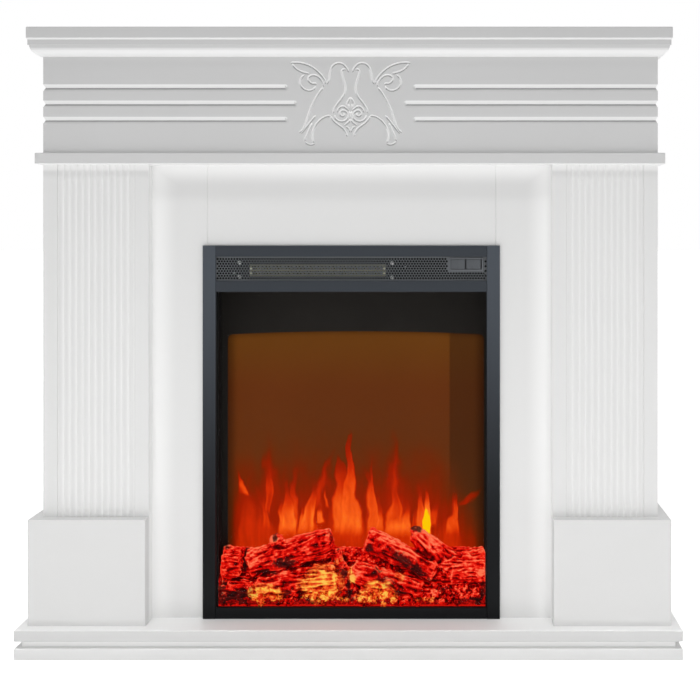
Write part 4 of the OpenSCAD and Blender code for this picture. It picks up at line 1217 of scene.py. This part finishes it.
        # The pale patches are painted light
        for name, spots in (("char", CHAR), ("pale", PAINTED_LIGHT_PATCHES), ("blaze", BLAZE)):
            self.mark(shape, name, self.patches(place, spots), "FLOAT", "value")
        self.mark(shape, "crack", self.cracks(place), "FLOAT", "value")
        shape.update()

    def relief(self, shape):
        """How far each point stands above or below the skin round it, from 0 to 1."""
        place, out = self.read(shape, "co"), self.read(shape, "normal")
        count = len(place)
        ends = np.empty(len(shape.edges)*2, np.int64)
        shape.edges.foreach_get("vertices", ends)
        ends = ends.reshape(-1, 2)
        share = np.bincount(ends.ravel(), minlength=count)[:, None]
        total = np.zeros(count)
        level = place
        for turn in range(1, 41):
            sums = np.zeros_like(level)
            np.add.at(sums, ends[:, 0], level[ends[:, 1]])
            np.add.at(sums, ends[:, 1], level[ends[:, 0]])
            level = sums/np.maximum(share, 1)
            if turn in self.scales:
                total += ((place - level)*out).sum(1)/MM*self.scales[turn]
        return np.clip(0.5 + total*0.5, 0, 1)

    @staticmethod
    def read(shape, field):
        """Three numbers for each point of a mesh: its place or its normal."""
        found = np.empty(len(shape.vertices)*3)
        shape.vertices.foreach_get(field, found)
        return found.reshape(-1, 3)

    @staticmethod
    def mark(shape, name, values, kind, field):
        """Stores one value for each point, for the finish to read."""
        layer = shape.attributes.new(name, kind, "POINT")
        layer.data.foreach_set(field, np.asarray(values, np.float32).ravel())

    def grain(self, place):
        """Distance along and round the nearest log for each point, and how much it is wood."""
        best = np.full(len(place), 9e9)
        grain = place.copy()
        for n, (start, end, r1, r2) in enumerate(LOGS):
            a, b = np.array(self.point(start)), np.array(self.point(end))
            axis = b - a
            length = np.linalg.norm(axis)
            axis /= length
            t = np.clip((place - a) @ axis, 0, length)
            off = place - a - t[:, None]*axis
            gap = np.linalg.norm(off, axis=1) - (r1 + (r2 - r1)*t/length)*MM
            near = gap < best
            best = np.where(near, gap, best)
            grain[near, 0] = (t + n*0.61)[near]
            grain[near, 1] = off[near, 1]
            grain[near, 2] = (off[near, 2] + t[near]*0.04)
        wood = np.clip(1 - (best - 2.0*MM)/(4*MM), 0, 1)
        grain = np.where(wood[:, None] > 0.5, grain, place)
        return grain, wood

    @staticmethod
    def patches(place, spots):
        """How much each point lies in one of the oval patches."""
        total = np.zeros(len(place))
        for x, z, long, short, slope, strength in spots:
            turn = math.radians(slope)
            across, up = place[:, 0]/MM - x, place[:, 2]/MM - z
            along = across*math.cos(turn) + up*math.sin(turn)
            aside = up*math.cos(turn) - across*math.sin(turn)
            off = np.sqrt((along/long)**2 + (aside/short)**2)
            total = np.maximum(total, np.clip(1.6 - off, 0, 1)*strength)
        return total

    @staticmethod
    def cracks(place):
        """How near each point is to one of the glowing cracks."""
        flat = place[:, [0, 2]]/MM
        total = np.zeros(len(place))
        for corners, half in CRACKS:
            for start, end in zip(np.array(corners, float), np.array(corners[1:], float)):
                run = end - start
                share = np.clip((flat - start) @ run/(run @ run), 0, 1)
                off = np.linalg.norm(flat - start - share[:, None]*run, axis=1)
                total = np.maximum(total, np.clip(1.5 - off/half*0.6, 0, 1))
        return total

    def finish(self, settings):
        """Resin lit from below: red wood grain, pale crests of painted light, charred skin and
        yellow cracks.
        """
        f = Finish("glowing_resin")
        at = f.place()
        _, _, z = f.axes(at)
        wood, blaze = f.painted("wood"), f.painted("blaze")
        fibre = f.noise(f.stretch(f.painted("grain", "Vector"), 0.22, 1.0, 1.0), 430.0, 4.0,
                        0.72, 1.4)
        crumb = f.noise(at, 270.0, 2.5, 0.65, 0.9)
        patch = f.noise(at, 40.0, 3.0, 0.65, 0.6)
        texture = wood*(fibre*0.68 + crumb*0.32) + (1.0 - wood)*crumb
        low = f.span(z, 76*MM, 66*MM)
        level = self.level(f, wood, texture, patch, low)
        hot = f.span(blaze + (patch - 0.5)*1.0 + (texture - 0.5)*0.9 - low*0.3, 0.28, 0.9)
        black = self.char(f, at, texture)
        coal = f.mix(f.span(f.noise(at, 640.0, 2.0, 0.8), 0.5, 0.75), tint(26, 2, 2),
                     tint(72, 40, 36))
        molten = f.mix(f.span(level, 0.2, 0.8), tint(255, 140, 36), tint(255, 220, 78))
        glow = f.mix(hot*0.9, f.ramp(level, RED), f.ramp(level + 0.07, ORANGE))
        glow = f.mix(black*(1.0 - hot*0.6), glow, coal)
        glow = f.mix(self.crack(f, at, crumb, blaze), glow, molten)
        return f.surface(
            base_color=f.mix(black, tint(16, 2, 2), tint(8, 7, 7)),
            roughness=0.6 + crumb*0.3, specular_ior_level=0.025,
            emission_color=glow, emission_strength=settings.ember_glow,
            normal=f.bump(texture, 0.6*MM, 0.6))

    @staticmethod
    def level(f, wood, texture, patch, low):
        """How bright the resin glows: on crests and upper sides more, in the gaps less. Crests,
        pale patches, upper sides and glints along the grain carry painted light, the gaps painted
        shade, and the resin is darker towards the bottom.
        """
        _, _, up = f.axes(f.facing())
        spark, gap = f.span(texture, 0.57, 0.70), f.span(texture, 0.44, 0.32)
        return ((f.painted("crest") - 0.5)*0.7 + (texture - 0.5)*1.25 + spark*0.25 - gap*0.24
                + (patch - 0.5)*1.4 + f.painted("pale")*0.19 + up*(0.04 + wood*0.14)
                - low*0.36 + 0.37)

    @staticmethod
    def char(f, at, texture):
        """How much of the charred skin is left on the worn resin."""
        worn = (f.noise(at, 85.0, 3.0, 0.7, 0.8) - 0.5)*2.6 + (texture - 0.5)*1.0
        return f.span(f.painted("char")*0.9 + worn, 0.50, 0.95)*0.9

    @staticmethod
    def crack(f, at, crumb, blaze):
        """How much a glowing crack shows, or the lace of fine cracks in the blaze."""
        sway = (f.noise(at, 90.0, 2.0) - 0.5)*(10*MM)
        seam = f.cells(f.vectors("ADD", at, f.point(sway, 0.0, sway)), 95.0, "DISTANCE_TO_EDGE")
        lace = f.span(seam + (crumb - 0.5)*0.3, 0.03, -0.01)*f.span(blaze, 0.45, 0.9)
        return f.span(f.painted("crack") + (crumb - 0.5)*1.8, 0.95, 1.25).most(lace*0.6)

    def dress_bed(self, settings):
        """Dark red crumb on the tray, with a bright line of light along its rim."""
        f = Finish("ember_tray")
        at = f.place()
        _, _, z = f.axes(at)
        crumb = f.noise(at, 300.0, 3.0, 0.6)
        lit = f.ramp(crumb, [(0.3, tint(60, 0, 0)), (0.5, tint(130, 2, 2)),
                             (0.68, tint(214, 24, 14)), (0.8, tint(240, 70, 46))])
        rim = f.span(abs(z - self.rim), 1.4*MM, 0.7*MM)
        lit = f.mix(rim*0.85, lit, tint(222, 22, 12))
        foot = f.span(z, self.dull_from, self.dull_from - 0.8*MM)
        lit = f.mix(foot*0.7, lit, tint(70, 0, 0))
        dress(f.surface(base_color=tint(16, 2, 2), roughness=0.4 + crumb*0.2,
                        specular_ior_level=0.04,
                        emission_color=lit, emission_strength=settings.ember_glow,
                        normal=f.bump(crumb, 0.3*MM, 0.5)), "ember_bed")


# ---- Works behind the screen, and the fan heater ----

class FIREPLACE_OT_works(FireplaceOperator, bpy.types.Operator):
    """Lamp boards and bearing behind the screen"""

    bl_idname = "fireplace.works"
    bl_label = "Flame works"

    lamp_height = 2*MM

    def build(self, settings):
        for name in ("ember_lamp_board", "flame_lamp_board"):
            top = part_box(name)[1].z - self.lamp_height
            dress(circuit_board(name + "_lacquer", top + 0.1*MM), name)
        dress(moulded("bearing_nylon", (0.75, 0.74, 0.68), 0.45), "rotor_bearing")


class FIREPLACE_OT_heater(FireplaceOperator, bpy.types.Operator):
    """Ceramic bars with foil fins, and the blower wheel"""

    bl_idname = "fireplace.heater"
    bl_label = "Fan heater"

    # Height between the two rows of pale bars, and how far each row lies from it
    bars_middle = 608.5*MM
    bars_apart = 3.5*MM

    def build(self, settings):
        f = Finish("heater_bars")
        at = f.place()
        fine = f.noise(at, 500.0, 3.0)
        fins = f.noise(f.stretch(at, 1.0, 0.1, 0.1), 420.0, 1.0)
        _, _, z = f.axes(at)
        row = f.span(abs(abs(z - self.bars_middle) - self.bars_apart), 2.6*MM, 1.2*MM)
        dress(f.surface(
            base_color=f.mix(row, f.mix(fins, tint(110, 106, 72), tint(150, 146, 104)),
                             f.mix(fins, tint(228, 224, 184), tint(252, 250, 226))),
            roughness=0.4 + fine*0.15, metallic=0.15,
            normal=f.bump(fine, 0.05*MM, 0.5)), "heating_element")
        dress(galvanised("wheel_aluminium", (0.62, 0.63, 0.65)), "blower_wheel")


class FIREPLACE_OT_controls(FireplaceOperator, bpy.types.Operator):
    """Switch frame and its two rockers"""

    bl_idname = "fireplace.controls"
    bl_label = "Controls"

    def build(self, settings):
        dress(moulded("bezel_plastic", (0.095, 0.102, 0.112), 0.42), "control_bezel")
        dress(moulded("rocker_plastic", (0.058, 0.064, 0.072), 0.34), "rocker_flame",
              "rocker_heat")


class FIREPLACE_OT_fixings(FireplaceOperator, bpy.types.Operator):
    """Zinc-plated cross-recess screws of the rear cover, the brackets and the heater"""

    bl_idname = "fireplace.fixings"
    bl_label = "Fixings"

    sides = 24
    recess = 0.9*MM
    # Radius of a heater screw's head at each height above its face, in millimetres
    dome = ((3.2, 0.0), (3.2, 0.7), (2.6, 1.4), (1.2, 1.8))
    # Half length and half width of the two slots of a cross, in millimetres
    slots = ((1.9, 0.42), (0.42, 1.9))
    # No head is wider than this, and no two heads are nearer
    head_reach = 12*MM
    # Heights of the heater's screws at its left and right ends
    left_screws = (622*MM, 599*MM)
    right_screws = (621*MM, 598*MM)

    def build(self, settings):
        material = galvanised("screw_zinc", (0.56, 0.56, 0.55))
        for name in ("cover_screws", "bracket_screws"):
            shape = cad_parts[name].data.copy()
            piece = self.screws(name + "_crossed", shape, material, self.heads_of(name))
            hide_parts(name)
        duct_low, duct_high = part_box("heater_duct")
        spots = ([(duct_low.x + 5*MM, z) for z in self.left_screws]
                 + [(duct_high.x - 9*MM, z) for z in self.right_screws])
        feet = [Vector((x, duct_low.y, z)) for x, z in spots]
        tops = [foot - Vector((0, self.dome[-1][1]*MM, 0)) for foot in feet]
        self.screws("heater_screws", self.domes(feet), material, tops)

    def heads_of(self, name):
        """The middle of each screw head's outer face."""
        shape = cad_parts[name].data
        outer = (max if name == "cover_screws" else min)(v.co.y for v in shape.vertices)
        groups = []
        for v in shape.vertices:
            if abs(v.co.y - outer) > 0.05*MM:
                continue
            near = [g for g in groups if (g[0] - v.co).length < self.head_reach]
            if near:
                near[0].append(v.co)
            else:
                groups.append([v.co])
        return [(Vector(map(min, *group)) + Vector(map(max, *group)))/2 for group in groups]

    def domes(self, feet):
        """Low round heads standing on a face that looks to the front."""
        build = bmesh.new()
        for foot in feet:
            rings = []
            for radius, lift in self.dome:
                rings.append([build.verts.new(foot + Vector((
                    radius*MM*math.cos(2*math.pi*k/self.sides), -lift*MM,
                    radius*MM*math.sin(2*math.pi*k/self.sides)))) for k in range(self.sides)])
            skin(build, rings)
            build.faces.new(rings[0][::-1])
            build.faces.new(rings[-1])
        return mesh_of("heater_screw_heads", build)

    def screws(self, name, shape, material, places):
        """The heads, with a cross recess at each place."""
        piece = add_piece(name, shape, material)
        build = bmesh.new()
        for place in places:
            # Each screw stopped at its own angle
            turn = Matrix.Rotation(0.4 + place.z*9, 4, "Y")
            for long, short in self.slots:
                size = Matrix.Diagonal((2*long*MM, 2*self.recess, 2*short*MM, 1))
                bmesh.ops.create_cube(build, size=1.0,
                                      matrix=Matrix.Translation(place) @ turn @ size)
        cut(piece, mesh_of("cross_recesses", build))
        piece.data.shade_flat()
        return piece


class FIREPLACE_PT_panel(bpy.types.Panel):
    """The fireplace's settings and the steps that build its looks"""

    bl_idname = "FIREPLACE_PT_panel"
    bl_label = "Electric fireplace"
    bl_space_type = "VIEW_3D"
    bl_region_type = "UI"
    bl_category = "Fireplace"

    def draw(self, context):
        for name in FireplaceSettings.__annotations__:
            self.layout.prop(context.scene.fireplace, name)
        for step in STEPS:
            self.layout.operator(step.bl_idname)


STEPS = [
    FIREPLACE_OT_stage, FIREPLACE_OT_mantel, FIREPLACE_OT_carving, FIREPLACE_OT_trim,
    FIREPLACE_OT_grille, FIREPLACE_OT_glass, FIREPLACE_OT_flames, FIREPLACE_OT_log_bed,
    FIREPLACE_OT_works, FIREPLACE_OT_heater, FIREPLACE_OT_controls, FIREPLACE_OT_fixings,
]


def register():
    for kind in [FireplaceSettings, *STEPS, FIREPLACE_PT_panel]:
        bpy.utils.register_class(kind)
    bpy.types.Scene.fireplace = bpy.props.PointerProperty(type=FireplaceSettings)


def unregister():
    del bpy.types.Scene.fireplace
    for kind in [FIREPLACE_PT_panel, *reversed(STEPS), FireplaceSettings]:
        bpy.utils.unregister_class(kind)


def main():
    """Runs every step in order."""
    register()
    for step in STEPS:
        group, name = step.bl_idname.split(".")
        getattr(getattr(bpy.ops, group), name)()


if __name__ == "__main__":
    main()
